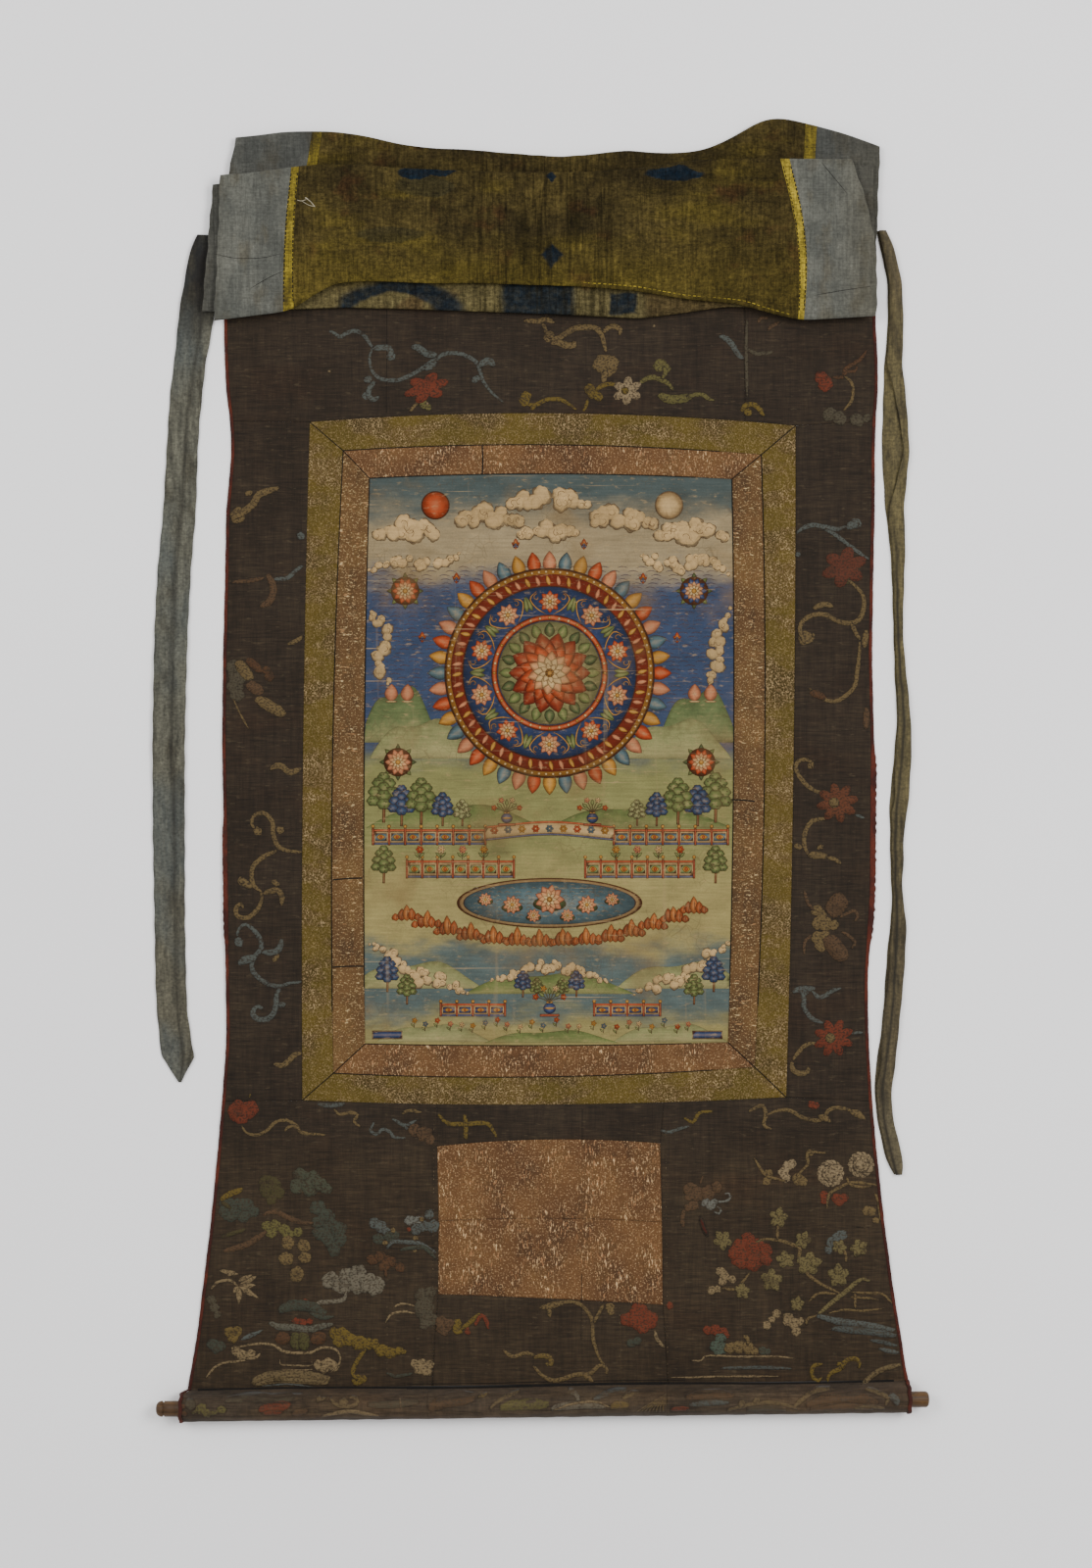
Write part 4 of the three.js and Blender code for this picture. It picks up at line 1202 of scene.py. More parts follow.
class Figures:
    """Thin coloured shapes laid on a cloth, all in one piece."""

    def __init__(self, name, finish, slot, lift=0.12, thick=0.3, surface=over_sheet, inside=None):
        self.name, self.finish, self.slot = name, finish, slot
        self.surface, self.inside, self.lift, self.thick = surface, inside, lift, thick
        self.scratch = bpy.data.meshes.new("scratch")
        self.bm = bmesh.new()
        self.stack = np.zeros((1600 // SQUARE, 1040 // SQUARE), int)

    def lay(self, wide, deep, place, colour, close=False):
        """One grid of cells; place(s, t) gives x, y, rim and heart for arrays s and t from 0 to 1."""
        shape = bmesh.new()
        layers = [shape.verts.layers.float_color.new("dye")]
        layers += [shape.verts.layers.float.new(key) for key in ("rim", "heart")]
        made = bmesh.ops.create_grid(shape, x_segments=wide, y_segments=deep, size=1)["verts"]
        spots = np.array([vert.co[:2] for vert in made])
        tint = paint(colour)
        places = place((spots[:, 0] + 1) / 2, (1 - spots[:, 1]) / 2)
        places = np.stack(np.broadcast_arrays(*places), -1)
        x0, y0 = ((places[:, :2].min(0) + CORNER) / SQUARE).astype(int)
        x1, y1 = ((places[:, :2].max(0) + CORNER) / SQUARE).astype(int) + 1
        under = self.stack[y0:y1, x0:x1]
        under[:] = under.max() + 1
        rise = self.lift + CLIMB * under.max()
        for vert, (x, y, rim, heart) in zip(made, places.tolist()):
            vert.co = (x, y, rise)
            vert[layers[0]], vert[layers[1]], vert[layers[2]] = tint, rim, heart
        if close:
            bmesh.ops.remove_doubles(shape, verts=shape.verts, dist=0.01)
        shape.to_mesh(self.scratch)
        shape.free()
        self.bm.from_mesh(self.scratch)

    def band(self, points, width, colour, taper=(0.35, 0.35), steps=None):
        """A stroke of the given width along a smooth line."""
        path = curve(points)
        size = length(path)
        tangent = np.gradient(path, axis=0)
        tangent /= np.maximum(np.hypot(*tangent.T), 1e-6)[:, None]
        run = np.concatenate([[0], np.cumsum(np.hypot(*np.diff(path, axis=0).T))])

        def place(s, t):
            x, y, tx, ty = (np.interp(s * size, run, values) for values in (*path.T, *tangent.T))
            swell = mix(taper[0], 1, np.minimum(1, s * 4)) * mix(taper[1], 1, np.minimum(1, (1 - s) * 4))
            half = width / 2 * swell
            off = (1 - 2 * t) * half
            across = 1 - np.abs(1 - 2 * t)
            rim = np.minimum(half * across, np.minimum(s, 1 - s) * size + 0.3)
            return x - ty * off, y + tx * off, rim, across

        self.lay(steps or max(4, int(size / 3)), 2, place, colour)

    def bar(self, x0, x1, y, width, colour, steps=None):
        """A level stroke with square ends."""
        self.band([(x0, y), (x1, y)], width, colour, (1, 1), steps)

    def disc(self, centre, radius, colour, squash=1.0, turn=0.0, lobes=0, depth=0.0, soft=0.0, group=None):
        """A round or lobed shape. The discs of a group share one worn outline."""
        cx, cy = centre
        around = lobes * (4 if radius < 9 else 6) if lobes else int(np.clip(radius * 2.6, 8, 80))
        rings = 1 if group is None and radius < 7 else max(2, int(radius / 7))
        cos, sin = math.cos(turn), math.sin(turn)

        def place(s, t):
            a = -2 * math.pi * s
            reach = radius * (1 - t) * (1 + depth * np.abs(np.cos(lobes * a / 2)) - depth / 2)
            px, py = reach * np.cos(a), reach * np.sin(a) * squash
            x, y = cx + px * cos - py * sin, cy + px * sin + py * cos
            rim = radius * t * min(1, squash * 1.2) + soft * 0.8
            for gx, gy, other in group or ():
                rim = np.maximum(rim, other - np.hypot(x - gx, (y - gy) / squash))
            return x, y, rim, mix(t, 1, soft * 0.8)

        self.lay(around, rings, place, colour, close=True)

    def leaf(self, base, tip, width, colour, bend=0.0):
        (x0, y0), (x1, y1) = base, tip
        size = math.hypot(x1 - x0, y1 - y0)
        nx, ny = -(y1 - y0) / size, (x1 - x0) / size

        def place(s, t):
            half = np.maximum(width / 2 * np.sin(math.pi * s ** 0.8) ** 0.8, 0.02)
            side = (1 - 2 * t) * half + bend * np.sin(math.pi * s)
            across = 1 - np.abs(1 - 2 * t)
            return (mix(x0, x1, s) + nx * side, mix(y0, y1, s) + ny * side, half * across,
                    across * np.sin(math.pi * s))

        self.lay(int(np.clip(size / 2.2, 4, 12)), 2, place, colour)

    def flower(self, centre, radius, petals, colour, heart_colour=None):
        for k in range(petals):
            a = 2 * math.pi * k / petals
            self.disc(polar(centre, radius * 0.56, a), radius * 0.46, colour, squash=0.8, turn=a)
        self.disc(centre, radius * 0.66, colour)
        if heart_colour:
            self.disc(centre, radius * 0.26, heart_colour)

    def finished(self):
        """Keeps the shapes inside their cloth, drops them on it and makes the piece."""
        mesh = meshed(self.name, self.bm)
        bpy.data.meshes.remove(self.scratch)
        places = places_of(mesh)
        x, y = places[:, 0], places[:, 1]
        if self.inside is not None:
            top, bottom, left, right = self.inside
            x[:] = np.clip(x, across_at(left, y) + INSET, across_at(right, y) - INSET)
            y[:] = np.clip(y, np.interp(x, *bottom.T) + INSET, np.interp(x, *top.T) - INSET)
        places[:, 2] += self.surface(x, y)
        put(mesh, places)
        piece = smooth_piece(mesh, self.finish, self.thick)


TAN, CREAM, SLATE, RED = "5c4e34", "6e604a", "444a4c", "5e2a1a"
TEAL, BRUSH, YELLOW, BLUE_PALE = "333832", "4a3828", "5a4c1e", "5a5c5c"
GREEN, RUST = "403f24", "46301f"
PINE, MOSSY, OLIVE, DUSK = "393d33", "3a3620", "54502e", "403c32"
CLOUD, SAND, DULL_GOLD, ROCK = "5c5850", "5a4e38", "5a4c2a", "3c4244"
POOL, LEAFY, BLOSSOM = "3c4842", "5c5438", "7a6c58"


def steps_of(*pairs):
    """Places in the view for a line of points."""
    return [at(a, d) for a, d in pairs]


# In the tables below, places are in the view: strokes have a tint, a width and their points; blooms a tint
# and discs as across, down and radius; flowers a tint, the heart's tint, a radius, petals, a turn, a squash
# and a place; leaves a tint, a width, a bend, a foot and a tip.
UPPER_STROKES = [
    (SLATE, 5, (336, 338), (341, 340), (347, 344), (354, 340), (363, 338), (371, 342), (378, 352),
     (382, 356)), (SLATE, 7, (380, 356), (389, 355), (396, 355), (399, 360), (397, 366)),
    (SLATE, 5, (380, 356), (377, 365), (379, 377), (385, 385), (395, 388), (406, 388), (419, 383), (431, 376),
     (444, 367), (455, 361), (468, 361), (479, 365), (487, 371), (490, 380), (494, 391), (503, 402),
     (514, 411)), (SLATE, 8, (371, 388), (380, 387)),
    (SLATE, 6, (383, 389), (377, 397), (376, 404), (381, 408), (387, 405)),
    (SLATE, 8, (420, 353), (428, 356), (435, 361), (446, 363)), (SLATE, 7, (433, 377), (446, 370)),
    (SLATE, 8, (488, 373), (494, 370), (499, 368), (504, 374)), (SLATE, 7, (490, 385), (481, 389)),
    (TAN, 3.4, (418, 421), (422, 415), (428, 410)),
    (TAN, 6, (534, 327), (542, 328), (550, 328), (557, 326), (566, 330)),
    (TAN, 6.5, (554, 330), (556, 336), (560, 343), (568, 346), (575, 342), (585, 336), (596, 334), (607, 335),
     (612, 339), (615, 346), (617, 355), (618, 360)), (TAN, 8, (558, 338), (564, 345)),
    (TAN, 6, (615, 340), (620, 335), (626, 333), (633, 337), (631, 342)),
    (TAN, 7.5, (562, 350), (571, 350), (579, 353), (587, 352), (584, 348)), (TAN, 7, (618, 378), (615, 391)),
    (YELLOW, 3.4, (600, 407), (598, 414), (595, 420)),
    (YELLOW, 4.4, (607, 399), (614, 394), (622, 392), (629, 393)),
    (OLIVE, 4.8, (650, 393), (657, 388), (666, 385), (674, 388), (681, 391), (687, 399)),
    (OLIVE, 5, (675, 387), (679, 380), (676, 374)),
    (OLIVE, 10, (672, 402), (678, 406), (685, 408), (696, 407), (707, 404)),
    (OLIVE, 5, (700, 406), (709, 403), (717, 403), (722, 407), (729, 409)),
    (SLATE, 6.5, (733, 343), (741, 346), (747, 352), (752, 361), (759, 367)),
    (DUSK, 4, (761, 356), (771, 361), (778, 361), (789, 359)),
    (DUSK, 3.4, (762, 326), (761, 352), (762, 405)), (BRUSH, 3.6, (773, 330), (776, 325), (784, 325)),
    (BRUSH, 3.6, (783, 338), (786, 334), (795, 329)),
    (YELLOW, 6, (756, 420), (760, 414), (768, 413), (774, 417), (779, 425)),
    (YELLOW, 5, (530, 406), (540, 413), (547, 413), (558, 408), (571, 408), (581, 413), (588, 419)),
    (YELLOW, 4.4, (541, 418), (547, 413)),
    (RUST, 4, (848, 385), (860, 385), (862, 377), (870, 372), (878, 366), (884, 358)),
    (RUST, 3, (860, 385), (864, 380), (872, 379), (874, 374)),
    (TAN, 3.4, (861, 384), (868, 390), (870, 399), (868, 410), (860, 419)),
]
UPPER_BLOOMS = [
    (SLATE, (374, 404, 5)), (SLATE, (399, 364, 5)), (TAN, (560, 344, 6)),
    (TAN, (618, 373, 12.5), (612, 372, 8), (624, 371, 8)),
    (YELLOW, (601, 397, 6), (604, 401, 6.5), (610, 405, 5.5)), (YELLOW, (537, 404, 5.5), (535, 409, 6.5)),
    (OLIVE, (673, 373, 7.5), (680, 376, 5)), (YELLOW, (763, 421, 4.6)), (CREAM, (336, 379, 1.8)),
    (CREAM, (667, 333, 1.6)), (OLIVE, (432, 413, 5), (437, 416, 4)),
    (DUSK, (846, 423, 8), (856, 427, 8), (874, 429, 8), (884, 427, 5)), (RED, (838, 386, 8), (842, 392, 8.5)),
    (CREAM, (436, 412, 1.8)),
]
UPPER_FLOWERS = [
    (RED, None, 21, 6, 0.3, 0.62, (435, 396)), (BLOSSOM, YELLOW, 14, 6, 0.5, 0.9, (640, 399)),
]
LEFT_STROKES = [
    (TAN, 8, (236, 529), (244, 526), (252, 520), (259, 514), (263, 506), (271, 502), (285, 498)),
    (TAN, 6, (250, 504), (258, 503)), (SLATE, 4.4, (279, 591), (293, 590), (301, 583), (309, 577)),
    (BRUSH, 4, (236, 594), (252, 593), (270, 590)),
    (BRUSH, 8, (273, 586), (278, 596), (279, 604), (275, 614), (265, 619)),
    (TAN, 5, (293, 657), (301, 655), (309, 649)), (TAN, 12, (242, 674), (249, 684), (257, 694)),
    (RUST, 9, (252, 672), (260, 679), (268, 686)), (BRUSH, 12, (252, 697), (260, 702), (268, 708)),
    (TAN, 12, (261, 712), (273, 719), (283, 725), (291, 730)), (TAN, 2.2, (238, 713), (246, 730), (254, 744)),
    (TAN, 7, (275, 785), (285, 781), (296, 788), (308, 784)),
    (TAN, 5.4, (260, 846), (257, 840), (260, 832), (270, 830), (278, 839), (279, 851), (283, 862), (290, 867),
     (308, 870)), (TAN, 4.6, (283, 868), (271, 873), (260, 882), (257, 891), (259, 903), (268, 911)),
    (TAN, 6.5, (268, 911), (278, 909), (284, 908), (288, 916), (287, 924)), (TAN, 6, (278, 898), (285, 904)),
    (TAN, 4.6, (267, 911), (267, 919), (262, 929), (254, 936), (246, 936), (241, 932), (242, 925), (247, 922),
     (248, 927)), (TAN, 8, (245, 897), (257, 906)),
    (SLATE, 5.4, (242, 955), (244, 948), (250, 943), (257, 947), (264, 955), (267, 963), (266, 969),
     (260, 976), (257, 984), (259, 992), (267, 1000), (277, 1005), (287, 1006), (296, 1003), (308, 1002)),
    (SLATE, 9, (243, 983), (252, 979), (262, 977)),
    (SLATE, 7, (267, 971), (277, 972), (285, 968), (288, 958)), (TAN, 5, (278, 981), (285, 974)),
    (SLATE, 6.4, (286, 1007), (282, 1017), (282, 1025), (279, 1034), (272, 1040), (262, 1039), (258, 1033),
     (262, 1027), (269, 1029)), (SLATE, 6, (284, 1025), (292, 1025)),
    (TAN, 6.4, (279, 1085), (288, 1087), (295, 1082), (301, 1076), (308, 1075)),
    (YELLOW, 1.8, (254, 1120), (256, 1116)),
]
LEFT_BLOOMS = [
    (TAN, (243, 526, 9)), (SLATE, (307, 547, 4.6)),
    (DUSK, (243, 689, 11), (238, 680, 8), (240, 700, 9), (242, 709, 8)), (RUST, (275, 690, 6), (272, 684, 5)),
    (TAN, (263, 848, 5)), (TAN, (286, 847, 4.6)), (SLATE, (244, 961, 5.4)), (TAN, (247, 899, 5)),
]
RIGHT_STROKES = [
    (SLATE, 5.4, (812, 544), (821, 538), (830, 536), (841, 538), (854, 540), (864, 537)),
    (SLATE, 4, (841, 540), (852, 546), (865, 556), (876, 564), (886, 571)),
    (SLATE, 9, (863, 538), (876, 533)),
    (TAN, 4.6, (865, 592), (873, 599), (880, 608), (881, 619), (877, 631), (868, 636), (854, 634), (844, 628),
     (833, 627), (822, 631), (816, 639), (817, 648), (822, 656), (829, 652), (830, 646)),
    (TAN, 6.4, (829, 621), (840, 617), (850, 619)), (TAN, 4.4, (868, 636), (873, 646), (877, 653)),
    (TAN, 7, (884, 643), (881, 661)),
    (TAN, 4.2, (877, 655), (876, 670), (874, 686), (872, 699), (865, 708), (854, 715), (844, 715), (833, 710),
     (825, 702)), (RUST, 8, (826, 706), (834, 709), (842, 713)), (BRUSH, 7, (884, 722), (883, 744)),
    (TAN, 5, (829, 784), (827, 777), (818, 775), (812, 780), (813, 788), (818, 796), (825, 803), (834, 808),
     (842, 807)), (SLATE, 3, (872, 831), (882, 835)),
    (TAN, 5.4, (844, 835), (830, 837), (824, 843), (820, 854), (821, 865), (825, 873)),
    (TAN, 8, (824, 872), (836, 873), (844, 874)), (TAN, 5, (844, 874), (853, 878), (858, 882)),
    (TAN, 6, (810, 862), (818, 866)), (TAN, 5, (833, 866), (840, 863)),
    (BRUSH, 3.4, (820, 908), (824, 921), (830, 929)), (BRUSH, 3.4, (820, 974), (821, 961), (828, 954)),
    (BRUSH, 20, (846, 934), (853, 924), (861, 913)), (BRUSH, 18, (843, 955), (852, 967), (862, 980)),
    (BRUSH, 3.4, (856, 936), (864, 932), (871, 929), (875, 935), (871, 940)),
    (BRUSH, 3.4, (858, 950), (866, 955), (872, 962), (868, 968)),
    (SLATE, 6.4, (808, 1012), (817, 1009), (832, 1009)),
    (SLATE, 5.4, (817, 1010), (820, 1019), (820, 1028), (828, 1039), (840, 1044)),
    (SLATE, 5, (828, 1010), (834, 1017), (841, 1016), (849, 1011), (858, 1008)),
    (SLATE, 3, (868, 1054), (880, 1053)), (TAN, 5, (834, 1064), (822, 1066), (814, 1074), (808, 1082)),
    (TAN, 6, (808, 1082), (808, 1090), (814, 1095), (823, 1094), (825, 1088)),
]
RIGHT_BLOOMS = [
    (TAN, (821, 651, 8)), (SLATE, (873, 534, 6)), (SLATE, (814, 566, 3)),
    (MOSSY, (858, 595, 4.6), (864, 593, 4)), (TAN, (833, 929, 6.5), (838, 933, 6)),
    (TAN, (834, 942, 7), (842, 943, 8), (850, 944, 6)), (TAN, (834, 957, 7.5), (837, 965, 7), (842, 955, 6)),
    (TAN, (827, 781, 4)), (SLATE, (820, 1012, 5)),
]
RIGHT_FLOWERS = [
    ("4e281c", None, 21, 6, 0.35, 0.86, (861, 579)), ("54301f", TAN, 19, 8, 0.2, 0.95, (854, 819)),
    (RED, TAN, 18.5, 8, 0.4, 0.92, (850, 1059)),
]


def woven(name, strokes, blooms=(), flowers=(), leaves=(), lift=0.12, sides=None):
    """Figures woven into the dark silk, from a table of strokes, clusters, flowers and leaves."""
    edges = (line([(-500, 760), (500, 760)]), line([(x, axis_y(x) - 12.6) for x in (-500, 500)]))
    inside = edges + (sides or (inside_left, inside_right))
    f = Figures(name, THREADS, "dark_silk", lift=lift, inside=inside)
    groups = {}
    for tint, *spots in blooms:
        groups.setdefault(tint, []).extend((*at(x, y), r) for x, y, r in spots)
    for tint, *spots in blooms:
        for k, (x, y, r) in enumerate(spots):
            spot = at(x, y)
            near = [other for other in groups[tint] if math.dist(other[:2], spot) < r + other[2]]
            f.disc(spot, r * 1.08, tint, squash=0.86, lobes=5, depth=0.16, turn=x + k, group=near)
    for tint, wide, *spots in strokes:
        f.band(steps_of(*spots), wide * (1.3 if wide < 5 else 1.1), tint, (0.6, 0.55))
    for tint, wide, bend, base, tip in leaves:
        f.leaf(at(*base), at(*tip), wide, tint, bend)
    for tint, heart, size, petals, turn, squash, spot in flowers:
        f.disc(at(*spot), size, tint, squash=squash, lobes=petals, depth=0.55, turn=turn, soft=0.2)
        if heart:
            f.disc((at(*spot)[0] - size * 0.2, at(*spot)[1]), size * 0.32, heart)
    return f


LOWER_STROKES = [
    (TAN, 3.6, (247, 1148), (251, 1155), (261, 1158), (273, 1153), (281, 1145), (292, 1143), (302, 1148),
     (307, 1155), (320, 1157), (333, 1158)), (TAN, 3.4, (290, 1154), (296, 1149), (303, 1150), (307, 1155)),
    (SLATE, 4.5, (324, 1126), (337, 1128), (352, 1126)),
    (TAN, 3.6, (341, 1131), (346, 1137), (358, 1135), (365, 1138), (361, 1144), (368, 1150)),
    (SLATE, 3.6, (382, 1145), (378, 1153), (384, 1157), (391, 1152), (398, 1155), (402, 1160), (414, 1161)),
    (SLATE, 3.4, (400, 1141), (408, 1146), (414, 1148), (425, 1143)), (SLATE, 3.0, (414, 1148), (415, 1153)),
    (TAN, 3.6, (410, 1136), (418, 1133), (430, 1135)),
    (BRUSH, 6, (268, 1239), (281, 1236), (294, 1242), (307, 1247), (320, 1248)),
    (BRUSH, 7, (228, 1276), (241, 1273), (253, 1269), (264, 1262), (272, 1256)),
    (MOSSY, 5, (226, 1262), (238, 1258), (251, 1254)),
    (YELLOW, 7, (225, 1224), (233, 1219), (243, 1215), (248, 1213)),
    (MOSSY, 4, (226, 1226), (232, 1230), (236, 1233)),
    (SLATE, 5, (394, 1274), (401, 1267), (414, 1267), (429, 1269), (445, 1278)),
    (TEAL, 5, (408, 1275), (421, 1273), (433, 1273), (445, 1284)), (RUST, 3, (393, 1294), (394, 1303)),
    (CLOUD, 4.4, (354, 1317), (350, 1326), (337, 1328), (326, 1329), (323, 1333), (328, 1336)),
    (CREAM, 3.2, (215, 1316), (222, 1308), (235, 1306), (243, 1312)),
    (TEAL, 12, (284, 1337), (298, 1332), (316, 1333), (333, 1341)),
    (TEAL, 5, (316, 1339), (328, 1344), (341, 1343)),
    ("4c4c46", 8, (275, 1348), (283, 1353), (298, 1354), (316, 1356), (328, 1353), (340, 1351)),
    (RUST, 14, (281, 1363), (288, 1365), (296, 1367)), (RUST, 14, (317, 1367), (326, 1365), (333, 1363)),
    (GREEN, 12, (302, 1359), (302, 1377)), (GREEN, 12, (310, 1359), (310, 1378)),
    (CREAM, 3, (238, 1375), (260, 1371), (279, 1372), (291, 1379), (316, 1380), (327, 1375), (341, 1376),
     (347, 1384), (345, 1393), (337, 1400)), (CREAM, 3, (251, 1386), (261, 1385), (266, 1380)),
    (CREAM, 2.6, (210, 1406), (219, 1395), (230, 1390), (241, 1389), (251, 1388)),
    (CREAM, 2, (286, 1386), (287, 1392), (303, 1393), (318, 1393), (318, 1389)),
    (CREAM, 2, (286, 1397), (303, 1398), (319, 1397)),
    (SAND, 12, (257, 1411), (268, 1406), (286, 1403), (307, 1404), (324, 1405), (337, 1407)),
    (SAND, 7, (260, 1413), (281, 1408), (307, 1409), (335, 1411)),
    (SLATE, 2, (267, 1414), (290, 1412), (307, 1413), (321, 1415)),
    (YELLOW, 4.4, (374, 1375), (368, 1383), (363, 1391), (360, 1401), (365, 1408)),
    (CREAM, 2.6, (401, 1334), (410, 1330), (423, 1332)),
    (CREAM, 2.6, (393, 1350), (399, 1341), (412, 1338), (423, 1340)),
    (TEAL, 3.6, (394, 1400), (403, 1404), (412, 1403), (421, 1401)),
    (YELLOW, 5.4, (447, 1137), (457, 1146), (473, 1147), (496, 1146), (502, 1152), (507, 1161)),
    (YELLOW, 5.4, (474, 1137), (475, 1148), (475, 1163)),
    (YELLOW, 4.6, (470, 1356), (478, 1350), (485, 1344), (490, 1340)),
    (RED, 5, (484, 1353), (491, 1342), (496, 1347), (498, 1356)),
    (TAN, 3.8, (550, 1334), (563, 1330), (579, 1328), (588, 1329), (597, 1335), (604, 1347), (605, 1366),
     (611, 1385), (617, 1393)), (TAN, 3.6, (616, 1330), (609, 1343), (606, 1350)),
    (TAN, 4, (513, 1377), (523, 1384), (536, 1380), (546, 1383)),
    (DULL_GOLD, 6, (544, 1385), (554, 1383), (562, 1386), (561, 1393), (557, 1390)),
    (TAN, 4.4, (544, 1393), (553, 1403), (563, 1408), (573, 1407), (588, 1402), (602, 1401), (611, 1393),
     (619, 1396), (618, 1402)), (CREAM, 3.6, (668, 1357), (670, 1366), (678, 1375)),
    (TAN, 4, (763, 1134), (769, 1131), (778, 1128), (781, 1138), (779, 1148), (787, 1152)),
    (TAN, 4, (781, 1138), (793, 1133), (806, 1133), (818, 1140), (833, 1143), (840, 1140), (846, 1132),
     (857, 1130), (870, 1134), (881, 1140)),
    (YELLOW, 3.6, (697, 1140), (707, 1145), (710, 1140), (714, 1135), (727, 1134)),
    (SLATE, 3.4, (674, 1153), (682, 1155), (692, 1152), (703, 1149)),
    (TAN, 3, (769, 1181), (775, 1191), (781, 1199), (793, 1203), (803, 1205)),
    (TAN, 3.2, (812, 1200), (818, 1194), (824, 1187), (824, 1176), (842, 1176)),
    (TAN, 3.2, (843, 1233), (846, 1218), (857, 1211), (870, 1206), (896, 1209)),
    (TAN, 3, (863, 1200), (867, 1208), (878, 1211), (889, 1210)),
    (TAN, 3.6, (892, 1217), (896, 1226), (898, 1245)), (BRUSH, 4.4, (698, 1234), (696, 1243), (697, 1252)),
    (BRUSH, 2.6, (714, 1208), (717, 1199)),
    (BLUE_PALE, 2.6, (728, 1225), (738, 1226), (745, 1222), (743, 1217), (739, 1218)),
    (BLUE_PALE, 2.4, (730, 1230), (735, 1233), (734, 1238), (728, 1236)),
    (TAN, 3.6, (771, 1267), (780, 1264), (793, 1265), (801, 1267), (812, 1271), (816, 1275), (815, 1286),
     (823, 1299), (836, 1309), (848, 1315), (860, 1321)), (TAN, 3, (793, 1265), (793, 1256), (794, 1247)),
    (TAN, 3, (735, 1314), (750, 1315), (758, 1307), (765, 1298)),
    (TAN, 3, (863, 1288), (862, 1278), (857, 1271)), (TAN, 3, (855, 1309), (860, 1297)),
    (LEAFY, 5.5, (833, 1342), (848, 1329), (863, 1317), (878, 1305), (887, 1307)),
    (TAN, 3, (825, 1327), (836, 1319), (853, 1320)),
    (TAN, 2.8, (868, 1318), (887, 1319), (900, 1320), (911, 1331)),
    (TAN, 2.6, (867, 1323), (883, 1324), (897, 1326)), (TAN, 2.8, (872, 1318), (872, 1335)),
    (TAN, 2.6, (844, 1340), (861, 1336), (878, 1337), (900, 1335)),
    (TAN, 3, (822, 1352), (824, 1345), (833, 1342)),
    (SLATE, 8, (833, 1342), (851, 1347), (870, 1350), (891, 1353), (913, 1357)),
    (ROCK, 8, (848, 1355), (870, 1357), (891, 1359), (914, 1363)),
    (ROCK, 5, (887, 1367), (900, 1369), (915, 1373)), (SLATE, 5, (896, 1375), (906, 1378), (917, 1380)),
    (TAN, 4, (762, 1372), (763, 1366), (758, 1362)),
    (CREAM, 2.4, (704, 1388), (715, 1388), (722, 1383), (760, 1384), (793, 1384), (812, 1386)),
    (ROCK, 3.6, (735, 1396), (771, 1395), (808, 1396)),
    (CREAM, 2.2, (684, 1405), (707, 1405), (735, 1404), (767, 1404), (794, 1404)),
    (YELLOW, 5, (839, 1392), (830, 1393), (828, 1402), (833, 1408), (839, 1405)),
    (YELLOW, 5.4, (843, 1409), (847, 1401), (857, 1396), (863, 1388), (872, 1386), (877, 1391), (875, 1396)),
    (YELLOW, 4, (853, 1393), (858, 1390), (860, 1397)),
    (SAND, 6, (878, 1412), (891, 1402), (902, 1396), (919, 1392)),
]
